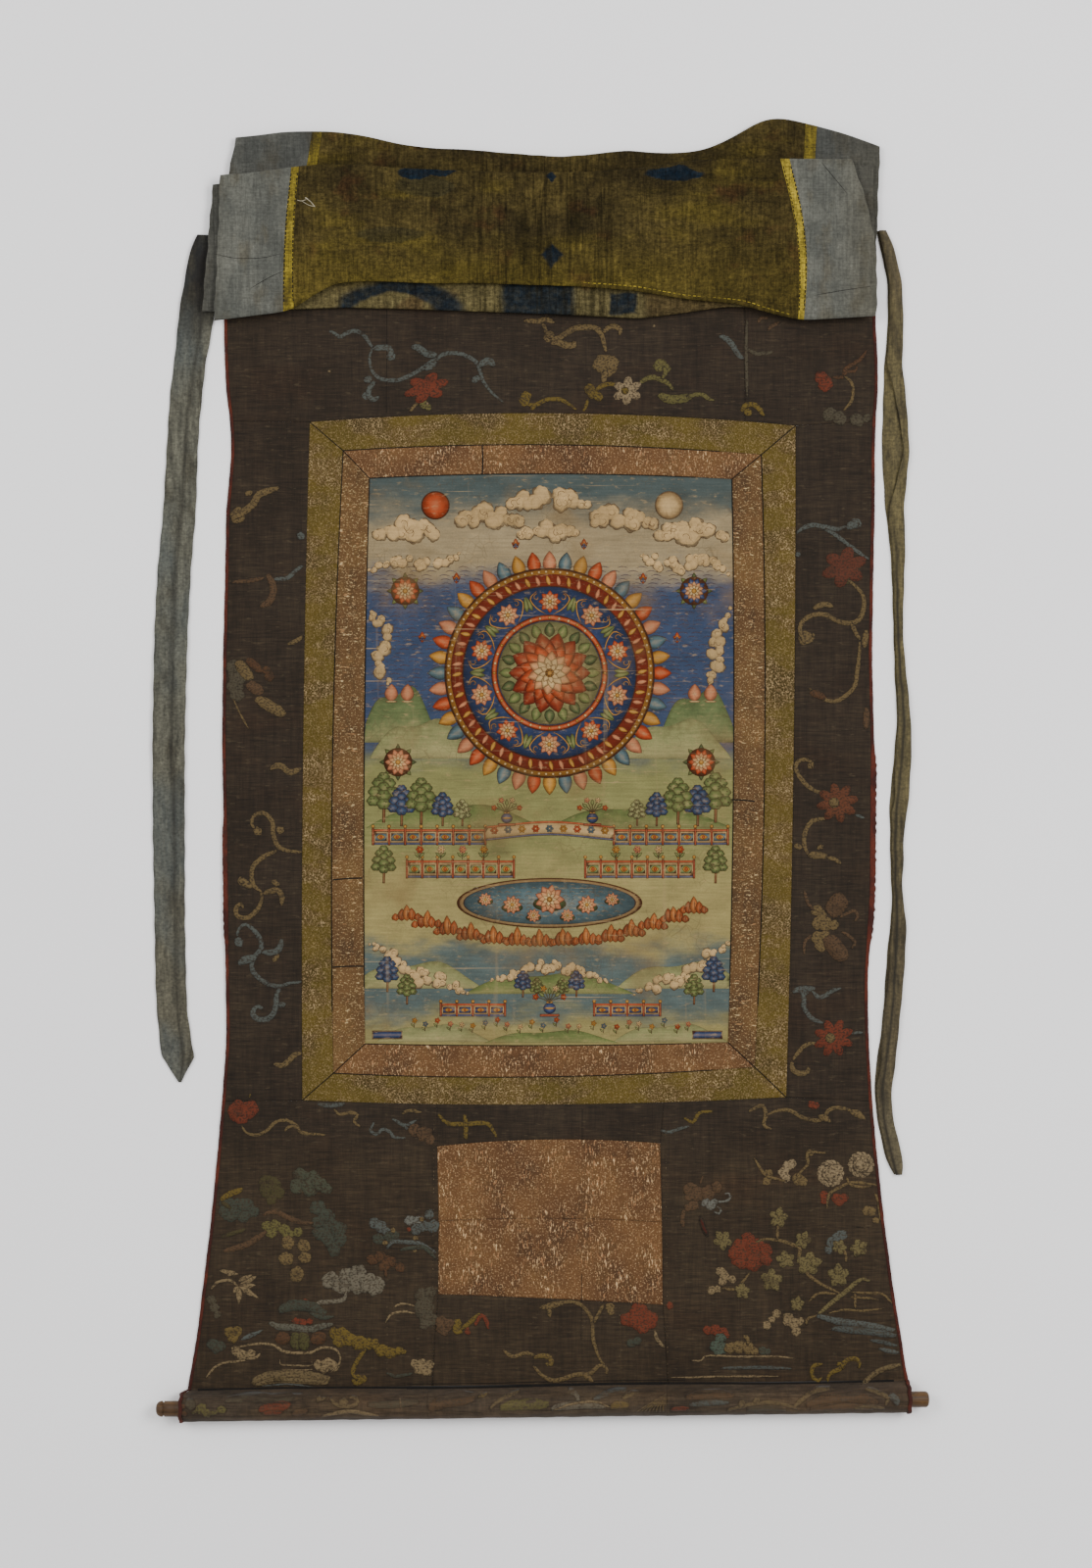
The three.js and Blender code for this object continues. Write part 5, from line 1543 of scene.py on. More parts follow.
LOWER_BLOOMS = [
    (RED, (243, 1133, 11.7), (254, 1132, 10.7), (246, 1140, 8.1)),
    (BRUSH, (423, 1153, 7.6), (433, 1157, 8.7), (439, 1163, 5.6)), (PINE, (307, 1200, 9.2)),
    (PINE, (318, 1202, 8.7)), (PINE, (303, 1210, 8.7)), (PINE, (316, 1211, 10.2)), (PINE, (326, 1208, 8.7)),
    (PINE, (333, 1213, 6.6)), (MOSSY, (271, 1205, 7.6)), (MOSSY, (279, 1208, 8.7)), (MOSSY, (273, 1215, 8.7)),
    (MOSSY, (283, 1217, 8.1)), (MOSSY, (277, 1224, 6.1)), (TEAL, (232, 1228, 8.7)), (TEAL, (243, 1232, 10.2)),
    (TEAL, (251, 1230, 9.2)), (TEAL, (258, 1236, 7.1)), (TEAL, (236, 1239, 8.7)), (TEAL, (228, 1236, 6.1)),
    (TEAL, (249, 1241, 7.1)), (TEAL, (324, 1232, 8.7)), (TEAL, (333, 1241, 9.2)), (TEAL, (337, 1251, 9.2)),
    (TEAL, (346, 1254, 8.7)), (TEAL, (326, 1258, 8.1)), (TEAL, (335, 1264, 8.7)), (TEAL, (347, 1264, 8.1)),
    (TEAL, (341, 1275, 7.6)), (TEAL, (324, 1247, 7.1)),
    (OLIVE, (273, 1251, 6.6), (281, 1250, 6.6), (290, 1254, 6.6), (277, 1258, 6.1), (294, 1259, 6.6),
     (304, 1257, 5.6)), (TAN, (294, 1268, 7.6)), (TAN, (310, 1271, 7.6)), (TAN, (292, 1284, 8.1)),
    (TAN, (311, 1283, 7.1)), (TAN, (303, 1300, 8.4)),
    (SLATE, (382, 1248, 6.6), (388, 1251, 7.6), (394, 1256, 5.1)),
    (TEAL, (386, 1264, 6.6), (398, 1262, 7.1), (403, 1260, 5.1)),
    (BLUE_PALE, (418, 1245, 6.1), (427, 1246, 6.6)),
    (SLATE, (425, 1254, 6.6), (433, 1251, 6.6), (442, 1251, 7.1), (438, 1239, 5.6)), (TAN, (401, 1255, 3.1)),
    (TAN, (393, 1268, 3.1)), (TAN, (424, 1263, 3.1)), (TAN, (423, 1275, 3.1)), (TAN, (430, 1244, 3.1)),
    (RED, (417, 1254, 2.8)),
    (RUST, (380, 1285, 6.6), (388, 1282, 6.6), (397, 1287, 7.6), (408, 1293, 5.6), (392, 1292, 6.1)),
    (CLOUD, (337, 1306, 9.7), (347, 1311, 9.7), (356, 1302, 10.7), (365, 1298, 9.2), (365, 1309, 11.7),
     (376, 1309, 11.2), (385, 1311, 9.2), (381, 1316, 6.6), (352, 1314, 6.6)),
    (DUSK, (216, 1326, 5.6), (219, 1334, 5.6), (222, 1341, 4.6)),
    (RED, (307, 1330, 3.6), (311, 1328, 3.6), (310, 1331, 4.6)),
    (RED, (302, 1348, 4.6), (309, 1349, 4.6), (316, 1348, 4.1)),
    (CREAM, (241, 1378, 6.1), (247, 1382, 6.6), (256, 1381, 5.6)),
    (CREAM, (326, 1393, 6.6), (335, 1391, 7.1), (340, 1394, 6.6), (331, 1397, 5.1)),
    (DULL_GOLD, (235, 1359, 6.6), (242, 1358, 6.1), (238, 1364, 6.6)),
    (TEAL, (217, 1371, 6.6), (225, 1373, 6.1), (220, 1376, 5.1)),
    (YELLOW, (341, 1360, 6.6), (350, 1362, 8.7), (347, 1368, 7.6), (358, 1367, 8.1), (367, 1370, 8.7),
     (376, 1371, 7.1), (382, 1371, 6.1)),
    (YELLOW, (390, 1378, 7.6), (398, 1380, 7.1), (407, 1378, 5.1), (412, 1379, 3.1)),
    (YELLOW, (365, 1408, 6.6), (371, 1407, 4.1)),
    (DUSK, (433, 1323, 10.2), (439, 1318, 6.6), (433, 1335, 11.7), (437, 1346, 9.7), (433, 1352, 5.6)),
    (BRUSH, (450, 1348, 6.6), (455, 1354, 6.6), (450, 1356, 5.6)),
    (CREAM, (423, 1391, 5.1), (430, 1391, 5.6), (438, 1392, 5.6), (427, 1397, 6.1), (435, 1398, 6.6)),
    (YELLOW, (466, 1351, 5.9), (467, 1357, 5.5)), (RED, (477, 1359, 3.5), (476, 1355, 2.8)),
    (BRUSH, (452, 1353, 6.7), (458, 1350, 5.9), (453, 1359, 4.7)), (TAN, (622, 1333, 5.1), (623, 1338, 4.3)),
    (RED, (641, 1346, 8.7), (652, 1338, 10.2), (662, 1347, 10.6), (649, 1347, 9.8), (656, 1355, 6.7)),
    (TEAL, (644, 1370, 5.5), (650, 1368, 5.1)), (RED, (683, 1332, 4.3)),
    (RED, (828, 1127, 4.6), (832, 1128, 4.1)),
    (BLOSSOM, (804, 1189, 6.1), (808, 1187, 5.1), (799, 1196, 6.1), (802, 1202, 5.1)),
    (TAN, (784, 1197, 5.1), (782, 1205, 5.1), (814, 1203, 7.1), (819, 1205, 5.6)), (TAN, (826, 1176, 4.1)),
    (RED, (840, 1219, 5.1), (841, 1225, 4.6)), (RED, (854, 1223, 6.6), (860, 1222, 5.6), (856, 1226, 5.1)),
    (TAN, (884, 1235, 5.6), (889, 1236, 5.1), (893, 1245, 4.1)),
    (BRUSH, (704, 1213, 8), (712, 1218, 9), (722, 1217, 8.4), (731, 1211, 6.4), (703, 1221, 5)),
    (BRUSH, (707, 1230, 6.1), (702, 1232, 4.6)),
    (BLUE_PALE, (720, 1227, 5.1), (725, 1230, 5.6), (728, 1227, 4.6)),
    (RED, (763, 1263, 7.1), (755, 1273, 9.7), (771, 1273, 11.2), (781, 1276, 8.1), (756, 1285, 10.7),
     (769, 1287, 10.7), (749, 1278, 7.6), (781, 1285, 7.1)),
    (CREAM, (735, 1297, 5.6), (739, 1302, 6.1), (737, 1307, 5.1), (747, 1305, 4.6), (726, 1316, 5.1),
     (732, 1315, 4.1)), (SLATE, (858, 1260, 6.6), (848, 1267, 6.1), (845, 1275, 4.6), (853, 1262, 5.1)),
    (CREAM, (792, 1340, 5.1), (787, 1346, 4.1), (782, 1352, 5.1)),
    (CREAM, (804, 1344, 6.1), (810, 1350, 6.6), (816, 1348, 4.6), (812, 1358, 5.6), (802, 1349, 4.1)),
    (RED, (722, 1357, 5.6), (730, 1357, 6.6), (738, 1359, 5.6), (741, 1362, 3.6)),
    (POOL, (735, 1365, 6.1), (730, 1374, 7.1), (738, 1375, 6.1), (733, 1379, 5.6)),
    (TAN, (745, 1375, 7.1), (754, 1374, 7.6), (763, 1375, 7.1), (769, 1378, 5.1)),
    (TEAL, (778, 1378, 5.1), (783, 1379, 4.1)),
]
LOWER_LEAVES = [
    (CREAM, 6, 0, (224, 1296), (245, 1300)), (CREAM, 5, 0, (231, 1301), (241, 1298)),
    (CREAM, 7, 0, (244, 1312), (263, 1301)), (CREAM, 7, 0, (244, 1312), (262, 1311)),
    (CREAM, 7, 0, (244, 1312), (265, 1325)), (CREAM, 7, 0, (244, 1312), (244, 1331)),
    (CREAM, 7, 0, (244, 1312), (238, 1319)), (CREAM, 6, 0, (243, 1307), (258, 1300)),
    (SLATE, 6, 0, (245, 1367), (270, 1356)), (TAN, 8, 1, (552, 1335), (576, 1330)),
    (TAN, 6, 0, (560, 1334), (561, 1345)), (TAN, 7, 0, (594, 1400), (606, 1410)),
    (TAN, 9, 1, (834, 1138), (848, 1145)), (TAN, 9, 1, (866, 1133), (883, 1142)),
]
IVY_LEAVES = [
    (LEAFY, 19, 2.2, (737, 1265)), (LEAFY, 19, 1.4, (794, 1242)), (LEAFY, 17, 1.2, (819, 1265)),
    (LEAFY, 18, 3.0, (801, 1285)), (LEAFY, 24, 0.2, (825, 1289)), (LEAFY, 22, -1.0, (787, 1306)),
    (LEAFY, 16, -1.0, (757, 1317)), (LEAFY, 18, 0.6, (876, 1273)), (LEAFY, 22, 1.6, (855, 1301)),
    (LEAFY, 15, 2.4, (856, 1272)), (LEAFY, 15, 1.4, (813, 1330)),
]


def ivy(f, centre, size, tint, turn):
    """A lobed leaf with a drawn-out tip."""
    f.disc(centre, size * 0.52, tint, squash=0.9, turn=turn, lobes=5, depth=0.5)
    f.leaf(centre, polar(centre, 0.66 * size, turn), size * 0.5, tint)


def woven_lower():
    """Everything woven below the borders, left to right, in the order it lies in the cloth."""
    f = woven("woven_figures_lower", LOWER_STROKES, LOWER_BLOOMS, (), LOWER_LEAVES)
    for tint, size, turn, spot in IVY_LEAVES:
        ivy(f, at(*spot), size, tint, turn)
    for spot, size in (((847, 1197), 15.5), ((878, 1188), 15)):
        f.flower(at(*spot), size, 14, BLOSSOM, "5c4c3a")
        f.flower(at(*spot), size * 0.62, 9, BLOSSOM)
    # Worn slits, the red lining showing through the longer one
    f.band(steps_of((714, 1240), (717, 1251), (722, 1262)), 7, "140e08", (0.5, 0.5))
    f.band(steps_of((715, 1243), (717, 1251), (721, 1259)), 3.6, "3c120a", (0.5, 0.5))
    f.band(steps_of((869, 1251), (880, 1252), (890, 1251)), 1.6, "140e08")
    f.leaf(at(880, 1252), at(886, 1253), 1.6, CREAM)
    f.finished()


SLEEVE_STROKES = [
    (RED, 10, (266, 1433), (281, 1431), (299, 1428)), (RED, 5, (270, 1437), (290, 1436)),
    (OLIVE, 4, (199, 1437), (207, 1433), (213, 1437), (222, 1436), (230, 1433)),
    (SAND, 4, (338, 1422), (345, 1428), (356, 1430), (364, 1428), (366, 1423), (357, 1421)),
    (SAND, 3, (324, 1425), (334, 1422)),
    (CREAM, 4.2, (330, 1440), (343, 1437), (358, 1435), (373, 1437), (388, 1440)),
    (DUSK, 8, (232, 1424), (260, 1422), (281, 1423), (310, 1421)),
    (DUSK, 8, (376, 1428), (401, 1428), (428, 1425)), (BRUSH, 7, (300, 1437), (316, 1434)),
    (CREAM, 1.6, (409, 1421), (410, 1432)), (BRUSH, 13, (438, 1432), (455, 1425), (485, 1421)),
    (OLIVE, 12, (510, 1431), (530, 1428), (560, 1428)),
    (SAND, 3.8, (500, 1433), (504, 1428), (515, 1421), (530, 1416)), (DULL_GOLD, 3, (488, 1421), (498, 1418)),
    (CLOUD, 9, (562, 1432), (580, 1429), (600, 1428), (618, 1430)),
    (CLOUD, 5, (579, 1415), (588, 1419), (590, 1426)),
    (CREAM, 2.6, (564, 1434), (584, 1427), (607, 1425), (622, 1431)),
    (SLATE, 5, (604, 1423), (622, 1417), (639, 1415)), (DULL_GOLD, 8, (622, 1431), (630, 1428), (641, 1429)),
    (SAND, 5, (634, 1422), (643, 1418), (651, 1417)), (RED, 4.6, (683, 1433), (692, 1432), (702, 1432)),
    (BRUSH, 8, (698, 1421), (724, 1418), (748, 1419)), (SLATE, 6, (702, 1428), (724, 1426), (742, 1426)),
    (SAND, 5, (740, 1434), (751, 1431), (763, 1428), (782, 1426), (798, 1428), (811, 1432)),
    (DUSK, 8, (760, 1433), (780, 1431), (800, 1433)),
    (SAND, 4.4, (806, 1432), (817, 1422), (829, 1415), (846, 1413)),
    (BRUSH, 12, (820, 1430), (845, 1422), (872, 1421), (893, 1427)),
    (BRUSH, 8, (824, 1433), (858, 1430), (888, 1432)), (SAND, 4, (868, 1432), (884, 1430), (900, 1432)),
    (SAND, 4.2, (880, 1413), (893, 1416), (903, 1421), (900, 1429)),
    (SLATE, 8, (904, 1418), (911, 1423), (912, 1429)),
] + [(DULL_GOLD if k % 2 else SAND, 1.6, (648 + 4 * k, 1436), (660 + 2.2 * k, 1428), (679, 1418 + 1.4 * k))
     for k in range(8)]
SLEEVE_BLOOMS = [
    (OLIVE, (208, 1432, 6), (214, 1437, 5)), (OLIVE, (229, 1433, 5)), (DUSK, (197, 1428, 6)),
    (RUST, (189, 1421, 3.4)), (RUST, (189, 1430, 3.2)), (RUST, (191, 1437, 3.2)), (SAND, (352, 1426, 5)),
    (SAND, (327, 1423, 3)), (SAND, (770, 1424, 4)), (SAND, (755, 1427, 4)),
]

woven("woven_vine_upper", UPPER_STROKES, UPPER_BLOOMS, UPPER_FLOWERS).finished()
woven("woven_figures_left", LEFT_STROKES, LEFT_BLOOMS).finished()
woven("woven_figures_right", RIGHT_STROKES, RIGHT_BLOOMS, RIGHT_FLOWERS).finished()
woven_lower()
woven("woven_waves_sleeve", SLEEVE_STROKES, SLEEVE_BLOOMS, lift=0.55,
      sides=(line([(-401, 0), (-401, -800)]), line([(411, 0), (411, -800)]))).finished()


def sewn(f, points, width, colour, stitch=0.0, space=0.0):
    """A seam line, whole or in separate stitches."""
    path = curve(points)
    run = length(path)
    if not stitch:
        f.band(points, width, colour, (1, 1), max(8, int(run / 9)))
        return
    for k in range(int(run / (stitch + space))):
        start = k * (stitch + space) + random.uniform(0, space * 0.5)
        a, b = along(path, np.array([start, start + stitch]) / run)
        aside = [random.uniform(-0.3, 0.3), random.uniform(-0.3, 0.3)]
        f.band([tuple(a), tuple(b + aside)], width, colour, (1, 1), 3)


def seams():
    """Dark sewing lines along the strips, mended cross seams and the joins of the dark silk, and a painted
    shadow in the crease beside the sleeve.
    """
    f = Figures("sewn_seams", DARK_THREAD_AND_SHADOW, "dark_silk", lift=0.06, thick=0.2)
    for path in canvas_edges + inner_edges:
        sewn(f, path[::6], 0.9, UMBER)
    for other in ("outer", "canvas"):
        for ends in zip(FRAMES["inner"]["corners"], FRAMES[other]["corners"]):
            sewn(f, ends, 0.8, UMBER)
    crease_line = [(x, crease(x)[1] + 0.6 * math.sin(x / 60)) for x in range(-384, 402, 26)]
    sewn(f, [(x, y + 3.4) for x, y in crease_line[9:22]], 0.8, UMBER)
    for a, b in (((-65.5, 363), (-65.5, 331)), ((-233, -124), (-200, -122)), ((-233, -222), (-199, -221)),
                 ((209, -34), (240, -36))):
        sewn(f, [a, mix(line(a), line(b), 0.5) + [0.6, 0.5], b], 1.5, UMBER)
    for ends in (((46.8, -381), (46.5, -421)), ((46, -566), (45.5, -640)), ((-172, 620), (-173, 400))):
        sewn(f, ends, 0.5, UMBER)
    f.finished()
    # A painted shadow: a dark band in the crease between the mount and the sleeve
    f = Figures("sleeve_crease_shadow", DARK_THREAD_AND_SHADOW, "dark_silk", lift=0.45, thick=0.2)
    for run, width in ((crease_line[:10], 1.7), (crease_line[9:21], 2.2), (crease_line[20:], 1.8)):
        sewn(f, run, width, UMBER)
    f.finished()
    f = Figures("pale_stitches", THREADS, "dark_silk", lift=0.14, thick=0.2)
    for top, foot, space in (((443, 1128), (441, 1406), 2.2), ((679, 1168), (681, 1406), 2.2),
                             ((395, 1332), (395, 1406), 5.0), ((594, 1332), (594, 1406), 4.0),
                             ((632, 1332), (632, 1400), 5.0)):
        sewn(f, steps_of(top, foot), 0.7, BLOSSOM, 2.6, space)
    f.finished()


def over_front(x, y):
    """Top of the veil's front run."""
    slack = 0.35 * np.sin(x / 17 + FRONT * 1.7) * np.sin(y / 25 + FRONT)
    return FIRST + PITCH * FRONT + THICK / 2 + gather(x, y) * 0.9 + slack


def front_spot(edge, t):
    """A place on the edge between two strips of the front run, t from its fold to its hem."""
    (x0, y0), (x1, y1) = (fold_place(k, edge, 0.0) for k in (FRONT, FRONT + 1))
    return float(mix(x0, x1, t) + WANDER[edge] * math.sin(math.pi * t)), float(mix(y0, y1, t))


def veil_stitches_and_crease_shade():
    """Dark stitches beside the yellow strips, painted shade in the grey borders' creases, the hem's yellow
    thread and a loose white thread.
    """
    f = Figures("veil_stitches_and_crease_shade", DARK_THREAD_AND_SHADOW, "veil_yellow", lift=0.05, thick=0.2, surface=over_front)
    for edge, aside in ((1, 1.0), (2, -0.8), (3, 0.8), (4, -1.0)):
        spots = [front_spot(edge, t) for t in np.linspace(0.05, 0.97, 12)]
        sewn(f, [(x + aside, y) for x, y in spots], 1.1, UMBER, 3.4, 1.6)
    # Thin dark lines in the creases of the grey borders: painted shade
    for spots in (((218, 261), (241, 266), (268, 266), (287, 262)), ((257, 297), (276, 286), (291, 279)),
                  ((829, 304), (857, 299), (886, 295)), ((836, 168), (848, 183), (862, 200))):
        f.band(steps_of(*spots), 0.6, UMBER, (0.4, 0.4), 24)
    f.finished()
    f = Figures("veil_hem_thread", VEIL_YELLOW, "veil_yellow", lift=0.05, thick=0.2, surface=over_front)
    hem = [(47, 543.5), (105, 539), (163.5, 529.5), (223, 523.5), (252.5, 515), (280, 507.5)]
    sewn(f, hem, 1.0, OCHRE, 3.6, 2.0)
    f.finished()
    f = Figures("veil_loose_thread", THREAD_PALE, "veil_yellow", lift=0.1, thick=0.25, surface=over_front)
    f.band([(-272, 635.5), (-267, 634.5), (-262, 636)], 0.6, CREAM, (1, 1))
    f.band([(-262.5, 638), (-257, 634), (-252, 628)], 0.8, CREAM, (1, 1))
    f.band([(-252, 628.5), (-258, 629.5), (-266, 634)], 0.5, CREAM, (1, 1))
    f.band([(-263, 638.5), (-259.5, 636)], 1.4, CREAM, (0.5, 0.5))
    f.finished()


# ------- The picture: a lotus wheel over a walled pool, in the old painting's colours

OLD_CREAM, OLD_IVORY, ASH, PEACH = "b3a17c", "a3926f", "8c836c", "b48a68"
INDIGO, SEA, WAVE_BLUE, POOL_FOAM = "2f4270", "4b6677", "46608c", "93a39c"
LEAF_GREEN, MOSS, SAGE, FAR_GREEN, WALL_GREEN = "5c6e45", "46563a", "7b8562", "566a4a", "6a7f58"
VERMILION, BRICK, ROSE, OCHRE, UMBER = "9c4526", "7e3420", "a8735a", "a27c38", "5a3a22"
# Foliage and the small strokes on it
GREEN_TREE, BLUE_TREE, PALE_TREE = (LEAF_GREEN, MOSS), ("34496e", "26365a"), (SAGE, MOSS)


def round_the(middle, radius, count, turn=0.0):
    """Places and directions round a ring."""
    for k in range(count):
        a = turn + 2 * math.pi * k / count
        yield k, a, polar(middle, radius, a)


def petal(f, middle, near, far, a, width, colour, lean=0.0):
    """A leaf that points away from a middle, from one distance to another."""
    f.leaf(polar(middle, near, a), polar(middle, far, a + lean), width, colour)


def lotus(f, centre, size, petals, outer, turn=0.0, second=PEACH, third=OLD_CREAM):
    """An open lotus seen from above, in rings of pointed petals."""
    rings = ((1.0, petals, outer), (0.74, petals, second), (0.48, petals - 2, third))
    for ring, (share, count, tint) in enumerate(rings):
        for k in range(count):
            a = turn + 2 * math.pi * (k + 0.5 * (ring % 2)) / count
            petal(f, centre, size * share * 0.12, size * share, a, size * share * 0.56, tint)
    f.disc(centre, size * 0.2, OCHRE)
    if size > 15:
        for k, a, spot in round_the(centre, size * 0.12, 7):
            f.disc(spot, size * 0.04, UMBER)


def heap(f, spots, colour):
    """Cloud billows: a shaded, outlined underside first, then soft pale tops that run together."""
    spots = sorted(spots, key=lambda spot: -spot[1])
    lobed = {"squash": 0.8, "lobes": 6, "depth": 0.14}
    for x, y, r in spots:
        f.disc((x, y), r, ASH, turn=random.uniform(0, 6), **lobed)
    for x, y, r in spots:
        f.disc((x, y + r * 0.10), r * 0.84, colour, turn=random.uniform(0, 6), soft=1.0, **lobed)
    for x, y, r in spots:
        if random.random() < 0.5:
            f.band(curl((x, y), r * 0.55, random.uniform(0, 6), 0.6, 7), 0.6, ASH, (1, 0.3), 8)


def puff(f, centre, wide, high, colour):
    """A heaped cloud of soft round billows on an uneven foot."""
    cx, cy = centre
    spots = []
    for _ in range(20):
        t = random.uniform(-1, 1)
        rise = high * (1 - abs(t) ** 1.7) * random.uniform(0.0, 0.85)
        size = ((0.46 - 0.26 * abs(t)) * high + 2.6) * random.uniform(0.8, 1.2)
        spots.append((cx + t * wide / 2, cy + rise, size))
    heap(f, spots, colour)


def bank(f, points, width, colour):
    """A long bank of cloud made of billows that follow a line."""
    path = curve(points)
    count = int(length(path) / (width * 0.22))
    spots = []
    for k, spot in enumerate(along(path, np.linspace(0, 1, count))):
        swell = math.sin(math.pi * (k + 0.5) / count) ** 0.4
        x, y = spot + np.array([random.gauss(0, 1), random.gauss(0, 1)]) * width * 0.2 * swell
        spots.append((x, y, width * random.uniform(0.26, 0.46) * swell))
    heap(f, spots, colour)


# A tree's heaps of leaves: across, up and radius, in parts of its height
LEAF_HEAPS = [
    (0, 0.92, 0.12), (-0.1, 0.8, 0.13), (0.11, 0.79, 0.13), (0, 0.7, 0.14), (-0.17, 0.62, 0.14),
    (0.17, 0.61, 0.14), (0, 0.54, 0.15), (-0.21, 0.44, 0.13), (0.2, 0.43, 0.13), (0, 0.38, 0.14),
]


def tree(f, foot, high, foliage, strokes):
    """A tree with heaped round foliage, dotted with small strokes."""
    x, y = foot
    f.band([(x, y), (x + 0.6, y + high * 0.5)], high * 0.05 + 0.6, UMBER, (1, 0.8))
    for dx, dy, r in LEAF_HEAPS:
        spot = (x + dx * high, y + dy * high)
        f.disc(spot, r * high, foliage, squash=0.8, lobes=6, depth=0.16)
        for _ in range(3):
            f.disc(polar(spot, 0.5 * r * high, random.uniform(0, 6.28), 0.8), 0.9, strokes)


def hill(f, centre, wide, high, colour):
    cx, cy = centre

    def place(s, t):
        top = high * np.sin(math.pi * s) ** 0.8 * (1 + 0.16 * np.sin(s * 11))
        return (cx + (s - 0.5) * wide, cy + top * (1 - t), np.minimum(top * t, s * wide * 0.2) + 0.3,
                0.3 + 0.7 * t)

    f.lay(26, 5, place, colour)


def crag(f, foot, wide, high):
    """A rock of upright slabs in russet and brown."""
    x, y = foot
    for k in range(5):
        t = k / 4 - 0.5
        top = high * (1 - 1.2 * abs(t)) * random.uniform(0.8, 1.1)
        left = x + t * wide
        f.leaf((left, y - high * 0.12), (left + random.uniform(-2, 2), y + top), wide * 0.4,
               ("8c4e2a", "7a4326", "9a6236")[k % 3])
        f.band([(left, y), (left + 0.8, y + top * 0.7)], 0.7, UMBER, (1, 0.3))


def flame_gem(f, centre, size):
    """A jewel in a leaf of flame."""
    cx, cy = centre
    for k, tint in enumerate((VERMILION, "b06a34", OCHRE)):
        s = size * (1 - 0.26 * k)
        for side in (-1, 1):
            f.leaf((cx, cy - s * 0.5), (cx + side * s * 0.62, cy + s * 0.5), s * 0.55, tint, side * s * 0.12)
        f.leaf((cx, cy - s * 0.62), (cx, cy + s * 1.1), s * 0.9, tint)
    for dx, dy in ((-0.2, -0.14), (0.2, -0.14), (0, 0.14)):
        f.disc((cx + dx * size, cy + dy * size), size * 0.2, INDIGO)


def ripples(f, left, right, high, low, gap, tint, wide):
    """Short arched strokes in rows, as water is drawn."""
    y, row = high, 0
    while y > low:
        x = left + (row % 2) * wide * 0.6
        while x < right - wide:
            f.band([(x, y), (x + wide * 0.4, y + 1.5), (x + wide * 0.9, y)], 0.8, tint, (0.3, 0.3), 5)
            x += wide * random.uniform(1.1, 1.7)
        y -= gap
        row += 1


def ring(f, middle, radius, width, colour):
    path = [polar(middle, radius, a) for a in np.linspace(0, 2 * math.pi, 49)]
    f.band(path, width, colour, (1, 1), 90)


def wheel(f, middle):
    """A great wheel of petals, beads, vines and blossoms about an open lotus."""
    for k, a, _ in round_the(middle, 0, 44):
        petal(f, middle, 112, 137, a, 15.5, (VERMILION, OCHRE, SEA, ROSE)[k % 4])
    for radius, tint in ((118, UMBER), (116, OCHRE), (111, BRICK)):
        f.disc(middle, radius, tint)
    for _, _, spot in round_the(middle, 113.5, 90):
        f.disc(spot, 1.7, OLD_CREAM)
    for k, a, _ in round_the(middle, 0, 56):
        petal(f, middle, 98, 110, a, 5.4, (OCHRE, ROSE)[k % 2], lean=0.03)
    f.disc(middle, 98, UMBER)
    f.disc(middle, 97, INDIGO)
    for k, a, spot in round_the(middle, 80, 10, 0.31):
        for side in (-1, 1):
            reach = ((66, 0.06), (74, 0.2), (86, 0.26), (93, 0.16))
            vine = [polar(middle, r, a + side * w) for r, w in reach]
            f.band(vine, 1.7, OCHRE)
            f.band(curl(polar(middle, 86, a + side * 0.17), 4.2, a, 0.9 * side, 9), 1.1, OCHRE, (1, 0.4), 9)
            petal(f, middle, 72, 90, a + side * 0.27, 6, LEAF_GREEN, lean=side * 0.04)
        lotus(f, spot, 13, 8, ROSE if k % 2 else VERMILION, a)
    ring(f, middle, 62, 7, UMBER)
    ring(f, middle, 62, 5.4, VERMILION)
    for k, _, spot in round_the(middle, 62, 36):
        f.disc(spot, 1.8, OLD_CREAM if k % 3 else OCHRE)
    f.disc(middle, 58, SAGE)
    for k, a, _ in round_the(middle, 0, 20):
        petal(f, middle, 40, 57, a, 12, (LEAF_GREEN, MOSS)[k % 2])
    lotus(f, middle, 46, 14, BRICK, second=VERMILION, third=ROSE)
    lotus(f, middle, 25, 10, PEACH, 0.2, second=OLD_CREAM)


def lattice_wall(f, left, right, y, high, tint):
    """A low garden wall of panels between posts, with a coping and a tiled foot."""
    f.bar(left, right, y, high, OLD_IVORY, 24)
    f.bar(left, right, y + high * 0.5, 2.6, VERMILION, 24)
    f.bar(left, right, y - high * 0.5, 2.6, INDIGO, 24)
    count = max(2, int((right - left) / 17))
    posts = [mix(left, right, k / count) for k in range(count + 1)]
    for x0, x1 in zip(posts, posts[1:]):
        f.bar(x0 + 2.4, x1 - 2.4, y, high * 0.58, tint)
        f.leaf((x0 + 4, y), (x1 - 4, y), high * 0.42, OCHRE)
        f.disc(((x0 + x1) / 2, y), high * 0.12, VERMILION)
    for x in posts:
        f.band([(x, y - high * 0.62), (x, y + high * 0.66)], 2.6, BRICK, (1, 1))
        f.disc((x, y + high * 0.8), 2.1, OCHRE)


def vase(f, foot, size, blooms):
    """A jar of blossoms on a small stand."""
    x, y = foot
    neck = y + size * 0.66
    f.bar(x - size * 0.5, x + size * 0.5, y, size * 0.14, BRICK)
    f.disc((x, y + size * 0.36), size * 0.32, INDIGO, squash=0.9)
    f.band([(x - size * 0.26, y + size * 0.36), (x + size * 0.26, y + size * 0.36)], size * 0.1, OCHRE)
    f.bar(x - size * 0.16, x + size * 0.16, neck, size * 0.1, OCHRE)
    for k in range(7):
        a = math.pi * (0.1 + 0.8 * k / 6)
        tip = (x + size * 0.75 * math.cos(a), y + size * 0.72 + size * 0.7 * math.sin(a))
        f.band([(x, neck), ((x + tip[0]) / 2, (neck + tip[1]) / 2 + 1), tip], 0.9, MOSS, (1, 1))
        if k % 2:
            f.leaf(((x + tip[0]) / 2, (y + size * 0.7 + tip[1]) / 2), tip, size * 0.2, LEAF_GREEN)
        else:
            f.flower(tip, size * 0.17, 5, blooms[k // 2 % len(blooms)], OCHRE)


